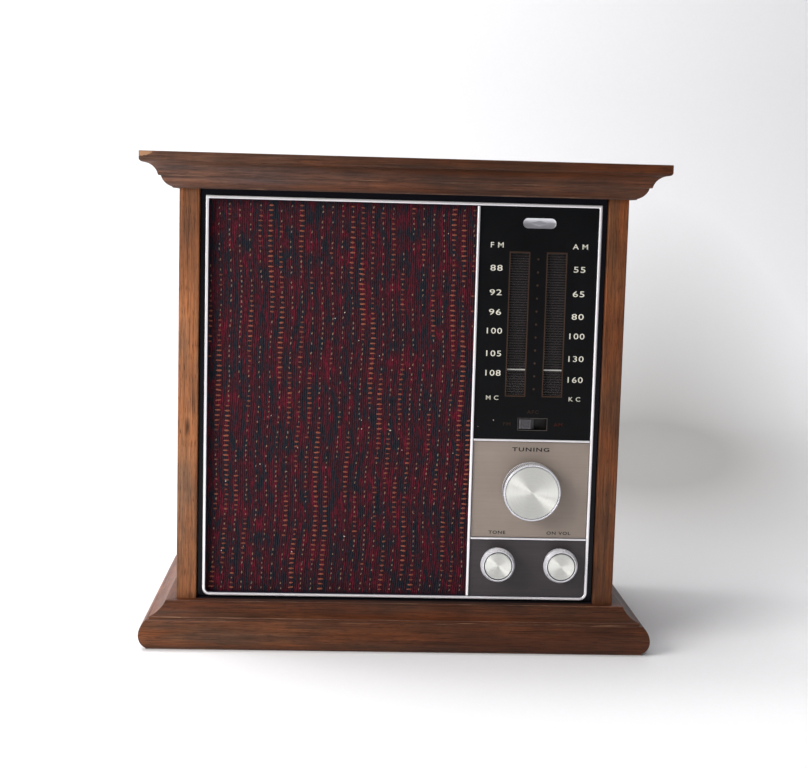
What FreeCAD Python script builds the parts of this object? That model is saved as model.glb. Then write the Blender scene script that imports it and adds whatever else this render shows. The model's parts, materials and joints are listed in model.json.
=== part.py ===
import FreeCAD, Part
import math
import os

# Table radio in a walnut cabinet.
# Axes: X to the right, Y towards the back, Z up.  The origin is on the table, under the middle of
# the radio.  Depths are counted backwards from the front edges of the side boards: see at_depth().
# All sizes are in millimetres.

# ---- cabinet ----
cabinet_width = 282.6
cabinet_depth = 165.0
overall_height = 312.0
board = 12.7
front_edge_round = 0.8
fit_gap = 0.5
cleat = 10.0

# ---- crown moulding, from its outer face inwards ----
crown_fascia = 4.6
crown_lip_round = 2.0
crown_cove_width = 8.2
crown_cove_drop = 7.2
crown_step_width = 1.6
crown_step_drop = 0.4
crown_ovolo_width = 6.4
crown_ovolo_drop = 6.8
crown_soffit_width = 4.0
crown_soffit_drop = 0.6
cove_sag = 0.17
ovolo_sag = 0.14

# ---- base moulding, from its ledge outwards ----
base_ledge_width = 6.2
base_cove_width = 9.4
base_cove_drop = 8.4
base_fillet_drop = 1.6
base_fillet_width = 1.8
base_nose_bulge = 4.1
base_nose_height = 18.2
base_foot_drop = 0.6
base_cove_sag = 0.12

# ---- depths of the layers behind the front edges ----
trim_depth = 1.0
panel_depth = 2.2
panel_thickness = 1.3
frame_thickness = 2.0
cloth_gap = 0.2
cloth_thickness = 1.0
baffle_thickness = 6.4
cord_depth = 15.2
chassis_depth = 19.4
sheet = 1.2
back_recess = 3.5
back_thickness = 3.2

# ---- front panel ----
trim_margin = 3.6
hidden_overlap = 3.6
trim_width = 2.2
trim_crest_round = 0.9
trim_corner_radius = 5.0
trim_lift = 1.5
trim_drop = 3.8
column_width = 75.2
divider_width = 2.1
cross_divider_height = 1.6
dial_height = 148.3
tuning_height = 62.85
part_clearance = 0.05

# ---- dial ----
window_width = 12.8
window_height = 92.3
window_spacing = 23.8
window_drop = 28.4
lens_thickness = 1.1
emblem_width = 21.0
emblem_height = 6.4
emblem_thickness = 0.6
emblem_drop = 10.2
pointer_line = 0.8
pointer_thickness = 0.6
pointer_gap = 0.8
pointer_side_gap = 0.45
pointer_rest_drop = 75.2
rib_pitch = 1.4
rib_height = 0.3
reflector_thickness = 1.5
reflector_border = 2.4
stem_width = 2.4
stem_gap = 0.8
rail_radius = 1.5
rail_offset = 7.7
carriage_height = 8.0
carriage_wall = 1.5
running_gap = 0.07

# ---- slide switch ----
switch_slot_width = 18.5
switch_slot_height = 7.5
switch_rise = 9.7
switch_travel = 9.3
switch_side_gap = 0.6
switch_flange = 2.0
switch_flange_thickness = 1.4
switch_wall = 1.6
switch_depth = 5.4
switch_ear = 4.0

# ---- knobs ----
shaft_radius = 3.175
shaft_hole_gap = 0.8
knob_panel_gap = 0.9
tuning_knob_radius = 18.4
tuning_knob_depth = 11.5
tuning_cap_radius = 17.05
tuning_knob_rise = 31.6
small_knob_radius = 11.1
small_knob_depth = 12.4
small_knob_shoulder = 9.2
small_cap_radius = 9.15
small_knob_lip = 0.85
small_knob_spacing = 40.6
small_knob_drop = 14.6
cap_recess = 0.5
cap_thickness = 0.6
shaft_in_knob = 9.0

# ---- tuning drive ----
cord_radius = 0.4
cord_clearance = 0.3
drive_radius = 3.2
idler_radius = 5.0
drum_radius = 24.9
groove_width = 1.8
flange_lip = 1.2
drum_hole_spread = 0.55
drum_hole_share = 0.24
drum_hole_count = 3
pulley_flange = 0.7
drum_offset = -30.8
drum_fall = 61.0
idler_rise = 9.0
idler_post_radius = 2.0
idler_post_collar = 1.4
bushing_radius = 4.76
bushing_flange = 7.0
bushing_flange_thickness = 1.6
bushing_length = 10.0
clip_thickness = 0.8

# ---- tuning capacitor ----
capacitor_size = 46.0
capacitor_depth = 42.0
capacitor_sheet = 2.0
plate_count = 8
plate_pitch = 4.0
rotor_plate = 1.0
stator_plate = 0.8
rotor_radius = 18.5
stator_inner_radius = 6.5
stator_reach = 2.4
stator_bar = 2.2

# ---- controls ----
pot_radius = 12.0
pot_depth = 11.0
pot_nut = 11.0
pot_nut_thickness = 2.2
pot_bushing_length = 6.0
pot_floor = 1.0
switch_can_radius = 10.5
switch_can_depth = 9.0

# ---- loudspeaker ----
speaker_x = -40.0
speaker_rise = 131.0
speaker_radius = 66.5
speaker_mouth_radius = 57.0
speaker_throat_radius = 27.0
speaker_depth = 31.0
speaker_wall = 1.2
speaker_screw_circle = 61.6
basket_slot_share = 0.36
basket_slot_inset = 4.8
magnet_radius = 25.0
magnet_depth = 13.0
magnet_gap_outer = 14.2
pole_radius = 11.3
coil_inner_radius = 12.1
coil_outer_radius = 12.9
coil_length = 9.0
cone_thickness = 0.8
cone_edge_gap = 0.7
cone_setback = -0.4
cone_neck_gap = 2.4
cone_roll = 2.2
cone_roll_height = 1.4
coil_seam = 1.0
dust_cap_height = 4.0
magnet_floor = 2.4

# ---- chassis and electronics ----
chassis_left_reach = 58.2
chassis_right_reach = 31.8
chassis_back = 150.0
standoff_radius = 2.5
standoff_height = 12.0
circuit_thickness = 1.6
circuit_margin = 3.0
circuit_front = 46.0
can_side = 10.0
can_height = 14.0
can_count = 5
can_row = 0.25
capacitor_can_radius = 7.0
capacitor_can_height = 24.0
capacitor_can_count = 4
capacitor_can_row = 0.8
transistor_width = 10.0
transistor_height = 16.0
transistor_thickness = 4.5
transistor_count = 2
transistor_row = 0.53
transformer_x = -95.0
transformer_length = 52.0
transformer_depth = 18.0
transformer_height = 44.0
transformer_coil = 8.0
transformer_coil_share = 0.3
transformer_yoke_share = 0.2
transformer_coil_round = 2.6
ferrite_radius = 5.0
ferrite_length = 160.0
ferrite_x = -20.0
ferrite_drop = 22.0
ferrite_depth = 118.0
bracket_width = 8.0
bracket_share = 0.4
lamp_radius = 4.0
lamp_socket_radius = 4.4
lamp_socket_height = 10.0
lamp_bulb_height = 12.0
lamp_offset = 25.2

# ---- back ----
vent_width = 44.0
vent_height = 3.6
vent_pitch = 9.0
vent_rows = 11
vent_rise = 128.0
vent_offset = 56.0
inlet_x = -84.0
inlet_rise = 34.0
inlet_width = 30.0
inlet_height = 20.0
inlet_depth = 14.0
inlet_flange = 1.6
inlet_wall = 2.6
inlet_pin_radius = 1.2
inlet_pin_spacing = 13.0
inlet_pin_length = 8.5
terminal_x = 70.0
terminal_rise = 190.0
terminal_width = 56.0
terminal_height = 14.0
terminal_thickness = 1.5
terminal_count = 3
terminal_screw_radius = 3.6
terminal_lug = 2.0
screw_radius = 1.7
screw_head_radius = 3.5
screw_head_height = 2.0
screw_length = 7.0

# ---- what follows from the sizes above ----
half_width = cabinet_width / 2
inner_half = half_width - board
crown_overhang = (crown_soffit_width + crown_ovolo_width + crown_step_width
                  + crown_cove_width + crown_lip_round)
crown_height = (crown_fascia + crown_lip_round + crown_cove_drop + crown_step_drop
                + crown_ovolo_drop + crown_soffit_drop)
base_overhang = base_ledge_width + base_cove_width + base_fillet_width + base_nose_bulge
base_height = base_cove_drop + base_fillet_drop + base_nose_height + base_foot_drop
front_overhang = max(crown_overhang, base_overhang)
overall_depth = cabinet_depth + front_overhang
front_y = front_overhang - overall_depth / 2
under_top = overall_height - board
soffit_z = overall_height - crown_height

frame_depth = panel_depth + panel_thickness
frame_back = frame_depth + frame_thickness
cloth_depth = frame_back + cloth_gap
baffle_depth = cloth_depth + cloth_thickness
baffle_back = baffle_depth + baffle_thickness
cover_depth = cabinet_depth - back_recess - back_thickness
cleat_depth = cover_depth - cleat

trim_half = inner_half - trim_margin
trim_bottom = base_height + trim_lift
trim_top = soffit_z - trim_drop
opening_half = trim_half - trim_width
opening_bottom = trim_bottom + trim_width
opening_top = trim_top - trim_width
column_left = opening_half - column_width
divider_left = column_left - divider_width
column_x = opening_half - column_width / 2
chassis_left = column_x - chassis_left_reach
chassis_right = column_x + chassis_right_reach
dial_bottom = opening_top - dial_height
tuning_top = dial_bottom - cross_divider_height
tuning_bottom = tuning_top - tuning_height
lower_top = tuning_bottom - cross_divider_height

window_top = opening_top - window_drop
window_bottom = window_top - window_height
pointer_z = window_top - pointer_rest_drop
pointer_depth = frame_depth + pointer_gap
reflector_depth = frame_back
switch_z = dial_bottom + switch_rise
actuator_width = (switch_slot_width - 2 * switch_side_gap) - switch_travel
actuator_height = switch_slot_height - 2 * switch_side_gap
switch_rest_x = column_x - switch_travel / 2
tuning_z = tuning_bottom + tuning_knob_rise
small_z = lower_top - small_knob_drop
tone_x = column_x - small_knob_spacing / 2
volume_x = column_x + small_knob_spacing / 2

cord_x = column_x + drive_radius
idler_x = cord_x - idler_radius
idler_z = window_top + idler_rise + carriage_height / 2
drum_x = column_x + drum_offset
drum_z = idler_z - drum_fall
rail_x = column_x + rail_offset
carriage_front = cord_depth - rail_radius - running_gap - carriage_wall
carriage_back = cord_depth + rail_radius + running_gap + carriage_wall
chassis_top = opening_top + fit_gap
speaker_z = base_height + speaker_rise
circuit_z = base_height + sheet + standoff_height


def at_depth(depth):
    """Y of a plane this far behind the front edges of the side boards."""
    return front_y + depth


def box(x0, x1, depth0, depth1, z0, z1):
    return Part.makeBox(x1 - x0, depth1 - depth0, z1 - z0, FreeCAD.Vector(x0, at_depth(depth0), z0))


def rod(x, z, radius, depth0, depth1):
    """A round bar along Y."""
    return Part.makeCylinder(radius, depth1 - depth0, FreeCAD.Vector(x, at_depth(depth0), z),
                             FreeCAD.Vector(0, 1, 0))


def post(x, depth, radius, z0, z1):
    """A round bar along Z."""
    return Part.makeCylinder(radius, z1 - z0, FreeCAD.Vector(x, at_depth(depth), z0))


def turned(x, z, outline):
    """A solid turned about an axis along Y; the outline is (radius, depth) pairs."""
    points = [FreeCAD.Vector(x + radius, at_depth(depth), z) for radius, depth in outline]
    face = Part.Face(Part.makePolygon(points + points[:1]))
    return face.revolve(FreeCAD.Vector(x, 0, z), FreeCAD.Vector(0, 1, 0), 360)


def prism(corners, z0, z1):
    """A straight solid over a plan outline of (x, depth) pairs."""
    points = [FreeCAD.Vector(x, at_depth(depth), z0) for x, depth in corners]
    face = Part.Face(Part.makePolygon(points + points[:1]))
    return face.extrude(FreeCAD.Vector(0, 0, z1 - z0))


def plate(x0, x1, z0, z1, depth0, depth1, bottom_radii=(0, 0)):
    """A flat plate facing forwards whose lower left and lower right corners may be round."""
    left, right = bottom_radii
    y = at_depth(depth0)
    edges = []

    def line(start, end):
        edges.append(Part.LineSegment(FreeCAD.Vector(start[0], y, start[1]),
                                      FreeCAD.Vector(end[0], y, end[1])).toShape())

    def corner(centre_x, centre_z, radius, first_angle):
        angles = [math.radians(first_angle + step) for step in (0, 45, 90)]
        points = [FreeCAD.Vector(centre_x + radius * math.cos(a), y, centre_z + radius * math.sin(a))
                  for a in angles]
        edges.append(Part.Arc(*points).toShape())

    line((x0, z1), (x0, z0 + left))
    if left:
        corner(x0 + left, z0 + left, left, 180)
    line((x0 + left, z0), (x1 - right, z0))
    if right:
        corner(x1 - right, z0 + right, right, 270)
    line((x1, z0 + right), (x1, z1))
    line((x1, z1), (x0, z1))
    face = Part.Face(Part.Wire(edges))
    return face.extrude(FreeCAD.Vector(0, depth1 - depth0, 0))


def round_edges(shape, radius, chosen):
    """Round the edges that the test picks."""
    return shape.makeFillet(radius, [edge for edge in shape.Edges if chosen(edge)])


def save(name, shape):
    if not shape.isValid():
        raise ValueError(name + " is not a valid shape")
    shape.exportStep("parts/" + name + ".step")


def group(solids):
    return solids[0] if len(solids) == 1 else Part.makeCompound(solids)


# ---- cabinet ----

def side_board(side):
    inner, outer = sorted((side * inner_half, side * half_width))
    solid = box(inner, outer, 0, cabinet_depth, 0, under_top)

    def front_upright(edge):
        along_z = abs(edge.BoundBox.ZLength - under_top) < 1e-6
        return along_z and edge.BoundBox.YMax < at_depth(0) + 1e-6

    return round_edges(solid, front_edge_round, front_upright)


def moulding_face(points, arcs, to_vector):
    """A face from profile points; arcs gives the middle point of each curved edge by its start."""
    edges = []
    for index, start in enumerate(points):
        end = points[(index + 1) % len(points)]
        if index in arcs:
            edge = Part.Arc(to_vector(start), to_vector(arcs[index]), to_vector(end))
        else:
            edge = Part.LineSegment(to_vector(start), to_vector(end))
        edges.append(edge.toShape())
    return Part.Face(Part.Wire(edges))


def arc_middle(start, end, bulge):
    """The point at the middle of an arc, this far to the left of the chord."""
    length = math.hypot(end[0] - start[0], end[1] - start[1])
    side_x = -(end[1] - start[1]) / length
    side_z = (end[0] - start[0]) / length
    return ((start[0] + end[0]) / 2 + bulge * side_x, (start[1] + end[1]) / 2 + bulge * side_z)


def crown_profile():
    """Outline of the crown as (overhang, height) points, and the middles of its curves."""
    lip = (crown_overhang, overall_height - crown_fascia)
    cove_top = (lip[0] - crown_lip_round, lip[1] - crown_lip_round)
    cove_foot = (cove_top[0] - crown_cove_width, cove_top[1] - crown_cove_drop)
    step_foot = (cove_foot[0], cove_foot[1] - crown_step_drop)
    ovolo_top = (step_foot[0] - crown_step_width, step_foot[1])
    ovolo_foot = (ovolo_top[0] - crown_ovolo_width, ovolo_top[1] - crown_ovolo_drop)
    points = [(0, overall_height), (crown_overhang, overall_height), lip, cove_top, cove_foot,
              step_foot, ovolo_top, ovolo_foot, (crown_soffit_width, soffit_z), (0, soffit_z)]
    lip_bulge = crown_lip_round * (1 - math.sqrt(0.5))
    cove_bulge = cove_sag * math.hypot(crown_cove_width, crown_cove_drop)
    ovolo_bulge = ovolo_sag * math.hypot(crown_ovolo_width, crown_ovolo_drop)
    arcs = {2: arc_middle(lip, cove_top, lip_bulge),
            3: arc_middle(cove_top, cove_foot, -cove_bulge),
            6: arc_middle(ovolo_top, ovolo_foot, ovolo_bulge)}
    return points, arcs


def base_profile():
    """Outline of the base as (overhang, height) points, and the middles of its curves."""
    ledge = (base_ledge_width, base_height)
    cove_foot = (ledge[0] + base_cove_width, ledge[1] - base_cove_drop)
    fillet_foot = (cove_foot[0], cove_foot[1] - base_fillet_drop)
    nose_top = (fillet_foot[0] + base_fillet_width, fillet_foot[1])
    nose_foot = (nose_top[0], nose_top[1] - base_nose_height)
    points = [(0, base_height), ledge, cove_foot, fillet_foot, nose_top, nose_foot,
              (nose_foot[0], 0), (0, 0)]
    cove_bulge = base_cove_sag * math.hypot(base_cove_width, base_cove_drop)
    arcs = {1: arc_middle(ledge, cove_foot, -cove_bulge),
            4: arc_middle(nose_top, nose_foot, base_nose_bulge)}
    return points, arcs


def moulding(profile, overhang, side):
    """One length of moulding, mitred at the front: side is -1 left, 0 front, 1 right."""
    points, arcs = profile
    if side == 0:
        reach = half_width + overhang
        face = moulding_face(points, arcs, lambda p: FreeCAD.Vector(-reach, at_depth(-p[0]), p[1]))
        solid = face.extrude(FreeCAD.Vector(2 * reach, 0, 0))
        plan = [(-reach, -overhang), (reach, -overhang), (half_width, 0), (-half_width, 0)]
    else:
        run = overhang + cabinet_depth
        face = moulding_face(points, arcs, lambda p: FreeCAD.Vector(side * (half_width + p[0]),
                                                                    at_depth(-overhang), p[1]))
        solid = face.extrude(FreeCAD.Vector(0, run, 0))
        outer = side * (half_width + overhang)
        plan = [(side * half_width, 0), (outer, -overhang), (outer, cabinet_depth),
                (side * half_width, cabinet_depth)]
    return solid.common(prism(plan, -1, overall_height + 1))


def cleats():
    """Softwood strips in the four upright corners: the baffle and the back cover fix to them."""
    strips = []
    for side in (-1, 1):
        x0, x1 = sorted((side * (inner_half - cleat), side * inner_half))
        strips.append(box(x0, x1, baffle_back, baffle_back + cleat, base_height, under_top))
        back = box(x0, x1, cleat_depth, cover_depth, base_height, under_top)
        for z in back_screw_heights():
            back = back.cut(rod((x0 + x1) / 2, z, screw_radius + part_clearance,
                                cleat_depth, cover_depth))
        strips.append(back)
    return strips


def back_screw_heights():
    low = base_height + cleat
    high = under_top - cleat
    return [low, (low + high) / 2, high]


# ---- front ----

def baffle_board():
    solid = box(-inner_half + fit_gap, inner_half - fit_gap, baffle_depth, baffle_back,
                base_height + fit_gap, under_top - fit_gap)
    solid = solid.cut(rod(speaker_x, speaker_z, speaker_mouth_radius, baffle_depth, baffle_back))
    control_left = column_left + hidden_overlap
    control_right = opening_half - hidden_overlap
    solid = solid.cut(box(control_left, control_right, baffle_depth, baffle_back,
                          opening_bottom + hidden_overlap, chassis_top - hidden_overlap))
    for x, z in speaker_screw_places():
        solid = solid.cut(rod(x, z, screw_radius + part_clearance, baffle_depth, baffle_back))
    return solid


def grille_cloth():
    return box(-opening_half - trim_width, column_left + hidden_overlap / 2, cloth_depth, baffle_depth,
               opening_bottom - trim_width, opening_top + trim_width)


def shaft_holes(depth0, depth1, extra):
    """Cutters for the three control shafts."""
    radius = shaft_radius + extra
    places = [(column_x, tuning_z), (tone_x, small_z), (volume_x, small_z)]
    return [rod(x, z, radius, depth0, depth1) for x, z in places]


def switch_slot(depth0, depth1):
    return box(column_x - switch_slot_width / 2, column_x + switch_slot_width / 2, depth0, depth1,
               switch_z - switch_slot_height / 2, switch_z + switch_slot_height / 2)


def window_boxes(depth0, depth1, shrink):
    boxes = []
    for side in (-1, 1):
        x = column_x + side * window_spacing / 2
        boxes.append(box(x - window_width / 2 + shrink, x + window_width / 2 - shrink,
                         depth0, depth1, window_bottom + shrink, window_top - shrink))
    return boxes


def front_frame():
    solid = box(-inner_half + fit_gap, inner_half - fit_gap, frame_depth, frame_back,
                base_height + fit_gap, under_top - fit_gap)
    inner_radius = trim_corner_radius - trim_width
    solid = solid.cut(plate(-opening_half, divider_left, opening_bottom, opening_top,
                            frame_depth, frame_back, (inner_radius, 0)))
    reach = window_spacing / 2 + window_width / 2 + hidden_overlap / 2
    solid = solid.cut(box(column_x - reach, column_x + reach, frame_depth, frame_back,
                          window_bottom - hidden_overlap, window_top + hidden_overlap))
    solid = solid.cut(switch_slot(frame_depth, frame_back))
    return solid.cut(shaft_holes(frame_depth, frame_back, shaft_hole_gap))


def trim_ring():
    radii = (trim_corner_radius, trim_corner_radius)
    inner_radii = (trim_corner_radius - trim_width, trim_corner_radius - trim_width)
    outer = plate(-trim_half, trim_half, trim_bottom, trim_top, trim_depth, frame_depth, radii)
    inner = plate(-opening_half, opening_half, opening_bottom, opening_top,
                  trim_depth, frame_depth, inner_radii)
    return round_edges(outer.cut(inner), trim_crest_round, faces_front)


def faces_front(edge):
    return edge.BoundBox.YMax < at_depth(trim_depth) + 1e-6


def column_divider():
    solid = box(divider_left, column_left, trim_depth, frame_depth, opening_bottom, opening_top)

    def long_crest(edge):
        return faces_front(edge) and edge.BoundBox.ZLength > divider_width

    return round_edges(solid, trim_crest_round, long_crest)


def cross_dividers():
    crest = trim_crest_round * cross_divider_height / divider_width

    def long_crest(edge):
        return faces_front(edge) and edge.BoundBox.XLength > divider_width

    bars = []
    for top in (dial_bottom, tuning_bottom):
        bar = box(column_left, opening_half, trim_depth, frame_depth,
                  top - cross_divider_height, top)
        bars.append(round_edges(bar, crest, long_crest))
    return bars


def dial_panel():
    solid = box(column_left, opening_half, panel_depth, frame_depth, dial_bottom, opening_top)
    solid = solid.cut(window_boxes(panel_depth, frame_depth, 0))
    return solid.cut(switch_slot(panel_depth, frame_depth))


def tuning_panel():
    solid = box(column_left, opening_half, panel_depth, frame_depth, tuning_bottom, tuning_top)
    return solid.cut(shaft_holes(panel_depth, frame_depth, shaft_hole_gap)[0])


def lower_panel():
    solid = plate(column_left, opening_half, opening_bottom, lower_top, panel_depth, frame_depth,
                  (0, trim_corner_radius - trim_width))
    return solid.cut(shaft_holes(panel_depth, frame_depth, shaft_hole_gap)[1:])


def emblem_plate():
    z = opening_top - emblem_drop
    solid = box(column_x - emblem_width / 2, column_x + emblem_width / 2,
                panel_depth - emblem_thickness, panel_depth,
                z - emblem_height / 2, z + emblem_height / 2)

    def through(edge):
        return abs(edge.BoundBox.YLength - emblem_thickness) < 1e-6

    return round_edges(solid, emblem_height / 2 - part_clearance, through)


def dial_reflector():
    """A ribbed plate behind the pointer, slotted up the middle for the pointer's stem."""
    reach = window_spacing / 2 + window_width / 2
    z0 = window_bottom - reflector_border
    z1 = window_top + reflector_border
    solid = box(column_x - reach - hidden_overlap, column_x + reach + hidden_overlap,
                reflector_depth, reflector_depth + reflector_thickness,
                z0 - reflector_border, z1 + reflector_border)
    ribs = []
    count = int((z1 - z0) / rib_pitch)
    for side in (-1, 1):
        x = column_x + side * window_spacing / 2
        for index in range(count):
            z = z0 + index * rib_pitch
            ribs.append(box(x - window_width / 2, x + window_width / 2,
                            reflector_depth - rib_height, reflector_depth, z, z + rib_pitch / 2))
    solid = solid.fuse(ribs)
    slot = stem_width / 2 + stem_gap
    return solid.cut(box(column_x - slot, column_x + slot, reflector_depth,
                         reflector_depth + reflector_thickness, z0, z1))


# ---- slide switch ----

def switch_housing():
    flange_half = actuator_width / 2 + switch_flange
    cavity_left = switch_rest_x - flange_half - switch_side_gap
    cavity_right = switch_rest_x + switch_travel + flange_half + switch_side_gap
    cavity_half = actuator_height / 2 + switch_flange + switch_side_gap
    back = frame_back + switch_depth
    solid = box(cavity_left - switch_ear, cavity_right + switch_ear, frame_back, back,
                switch_z - cavity_half - switch_wall, switch_z + cavity_half + switch_wall)
    return solid.cut(box(cavity_left, cavity_right, frame_back, back - switch_wall,
                         switch_z - cavity_half, switch_z + cavity_half))


def switch_slider():
    flange_front = frame_back + running_gap
    flange_back = flange_front + switch_flange_thickness
    flange_half = actuator_width / 2 + switch_flange
    height = actuator_height / 2
    knob = box(switch_rest_x - actuator_width / 2, switch_rest_x + actuator_width / 2,
               panel_depth, flange_front, switch_z - height, switch_z + height)
    flange = box(switch_rest_x - flange_half, switch_rest_x + flange_half,
                 flange_front, flange_back,
                 switch_z - height - switch_flange, switch_z + height + switch_flange)
    contact = box(switch_rest_x - switch_flange, switch_rest_x + switch_flange, flange_back,
                  frame_back + switch_depth - switch_wall - switch_side_gap,
                  switch_z - switch_flange, switch_z + switch_flange)
    return knob.fuse([flange, contact])


# ---- knobs ----

def knob(x, z, radius, shoulder_radius, shoulder, depth, cap_radius, lip):
    """A knob turned about its shaft, with a shallow seat in front for the metal cap."""
    back = panel_depth - knob_panel_gap
    front = back - depth
    seat = front + cap_recess + cap_thickness
    outline = [(0, back), (radius, back), (radius, back - shoulder), (shoulder_radius, front + lip / 2),
               (shoulder_radius - lip / 2, front), (cap_radius + part_clearance, front),
               (cap_radius + part_clearance, seat), (0, seat)]
    solid = turned(x, z, outline)
    return solid.cut(rod(x, z, shaft_radius, back - shaft_in_knob, back))


def knob_cap(x, z, depth, cap_radius):
    seat = panel_depth - knob_panel_gap - depth + cap_recess
    return rod(x, z, cap_radius, seat, seat + cap_thickness)


def control_shaft(x, z):
    front = panel_depth - knob_panel_gap - shaft_in_knob
    return rod(x, z, shaft_radius, front, chassis_depth + pot_depth)


# ---- tuning drive ----

def tuning_shaft():
    front = panel_depth - knob_panel_gap - shaft_in_knob
    tail = chassis_depth + sheet + bushing_length
    solid = rod(column_x, tuning_z, shaft_radius, front, tail + 2 * clip_thickness)
    groove_radius = drive_radius - cord_radius - cord_clearance
    ring = rod(column_x, tuning_z, shaft_radius + 1, cord_depth - groove_width / 2,
               cord_depth + groove_width / 2)
    ring = ring.cut(rod(column_x, tuning_z, groove_radius, cord_depth - groove_width / 2,
                        cord_depth + groove_width / 2))
    solid = solid.cut(ring)
    clip = rod(column_x, tuning_z, bushing_radius, tail + running_gap,
               tail + running_gap + clip_thickness)
    return solid.fuse(clip)


def tuning_bushing():
    front = chassis_depth - bushing_flange_thickness
    flange = rod(column_x, tuning_z, bushing_flange, front, chassis_depth)
    tube = rod(column_x, tuning_z, bushing_radius, front, chassis_depth + sheet + bushing_length)
    bore = rod(column_x, tuning_z, shaft_radius + running_gap, front,
               chassis_depth + sheet + bushing_length)
    return flange.fuse(tube).cut(bore)


def pulley(x, z, belt_radius, bore_radius):
    groove = belt_radius - cord_radius - cord_clearance
    half = groove_width / 2
    outer = belt_radius + flange_lip
    outline = [(bore_radius, cord_depth - half - pulley_flange),
               (outer, cord_depth - half - pulley_flange), (outer, cord_depth - half),
               (groove, cord_depth - half), (groove, cord_depth + half),
               (outer, cord_depth + half), (outer, cord_depth + half + pulley_flange),
               (bore_radius, cord_depth + half + pulley_flange)]
    return turned(x, z, outline)


def dial_drum():
    """The large cord drum, lightened by three round holes."""
    solid = pulley(drum_x, drum_z, drum_radius, shaft_radius)
    hole_circle = drum_radius * drum_hole_spread
    for index in range(drum_hole_count):
        angle = math.radians(90 + index * 360 / drum_hole_count)
        solid = solid.cut(rod(drum_x + hole_circle * math.cos(angle),
                              drum_z + hole_circle * math.sin(angle), drum_radius * drum_hole_share,
                              cord_depth - groove_width, cord_depth + groove_width))
    return solid


def tangent_pair(first, first_radius, second, second_radius):
    """Ends of the outer tangent that lies to the left when going from first to second."""
    dx = second[0] - first[0]
    dz = second[1] - first[1]
    distance = math.hypot(dx, dz)
    heading = math.atan2(dz, dx)
    turn = math.acos((first_radius - second_radius) / distance)
    angle = heading + turn
    away = (math.cos(angle), math.sin(angle))
    return ((first[0] + first_radius * away[0], first[1] + first_radius * away[1]),
            (second[0] + second_radius * away[0], second[1] + second_radius * away[1]))


def dial_cord():
    """The cord's closed loop round the tuning shaft, the drum and the upper pulley."""
    wheels = [((column_x, tuning_z), drive_radius), ((drum_x, drum_z), drum_radius),
              ((idler_x, idler_z), idler_radius)]
    runs = []
    for index, (centre, radius) in enumerate(wheels):
        next_centre, next_radius = wheels[(index + 1) % 3]
        runs.append(tangent_pair(centre, radius, next_centre, next_radius))
    y = at_depth(cord_depth)
    edges = []
    for index, (start, end) in enumerate(runs):
        edges.append(Part.LineSegment(FreeCAD.Vector(start[0], y, start[1]),
                                      FreeCAD.Vector(end[0], y, end[1])).toShape())
        centre, radius = wheels[(index + 1) % 3]
        leave = runs[(index + 1) % 3][0]
        angle_in = math.atan2(end[1] - centre[1], end[0] - centre[0])
        angle_out = math.atan2(leave[1] - centre[1], leave[0] - centre[0])
        if angle_out > angle_in:
            angle_out -= 2 * math.pi
        middle = (angle_in + angle_out) / 2
        edges.append(Part.Arc(FreeCAD.Vector(end[0], y, end[1]),
                              FreeCAD.Vector(centre[0] + radius * math.cos(middle), y,
                                             centre[1] + radius * math.sin(middle)),
                              FreeCAD.Vector(leave[0], y, leave[1])).toShape())
    path = Part.Wire(edges)
    start, end = runs[0]
    direction = FreeCAD.Vector(end[0] - start[0], 0, end[1] - start[1])
    section = Part.Wire(Part.makeCircle(cord_radius, FreeCAD.Vector(start[0], y, start[1]), direction))
    solid = path.makePipeShell([section], True, True)
    swept = path.Length * math.pi * cord_radius ** 2
    if abs(solid.Volume / swept - 1) > 0.02:
        raise ValueError("the cord's volume does not match its length")
    return solid


def pointer_rail():
    z0 = window_bottom - reflector_border
    z1 = window_top + reflector_border
    solid = post(rail_x, cord_depth, rail_radius, z0, z1)
    ends = []
    for z in (z0, z1):
        ends.append(rod(rail_x, z, rail_radius, cord_depth, chassis_depth))
        ends.append(Part.makeSphere(rail_radius, FreeCAD.Vector(rail_x, at_depth(cord_depth), z)))
    return solid.fuse(ends)


def pointer_carriage():
    """The pointer line, its stem through the dial plate, and the block that runs on the rail."""
    reach = window_spacing / 2 + window_width / 2 - pointer_side_gap
    bar = box(column_x - reach, column_x + reach, pointer_depth, pointer_depth + pointer_thickness,
              pointer_z - pointer_line / 2, pointer_z + pointer_line / 2)
    stem = box(column_x - stem_width / 2, column_x + stem_width / 2,
               pointer_depth, carriage_front + carriage_wall,
               pointer_z - pointer_line, pointer_z + pointer_line)
    block = box(column_x - stem_width / 2, rail_x + rail_radius + running_gap + carriage_wall,
                carriage_front, carriage_back,
                pointer_z - carriage_height / 2, pointer_z + carriage_height / 2)
    solid = bar.fuse([stem, block])
    low = pointer_z - carriage_height
    high = pointer_z + carriage_height
    solid = solid.cut(post(rail_x, cord_depth, rail_radius + running_gap, low, high))
    return solid.cut(post(cord_x, cord_depth, cord_radius + cord_clearance, low, high))


# ---- tuning capacitor ----

def plate_depths():
    first = chassis_depth + sheet + capacitor_sheet + plate_pitch
    return [first + index * plate_pitch for index in range(plate_count)]


def half_disc(radius, inner_radius, depth0, depth1, side):
    solid = rod(drum_x, drum_z, radius, depth0, depth1)
    if inner_radius:
        solid = solid.cut(rod(drum_x, drum_z, inner_radius, depth0, depth1))
    x0, x1 = sorted((drum_x, drum_x + side * 2 * radius))
    return solid.common(box(x0, x1, depth0, depth1, drum_z - 2 * radius, drum_z + 2 * radius))


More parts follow.
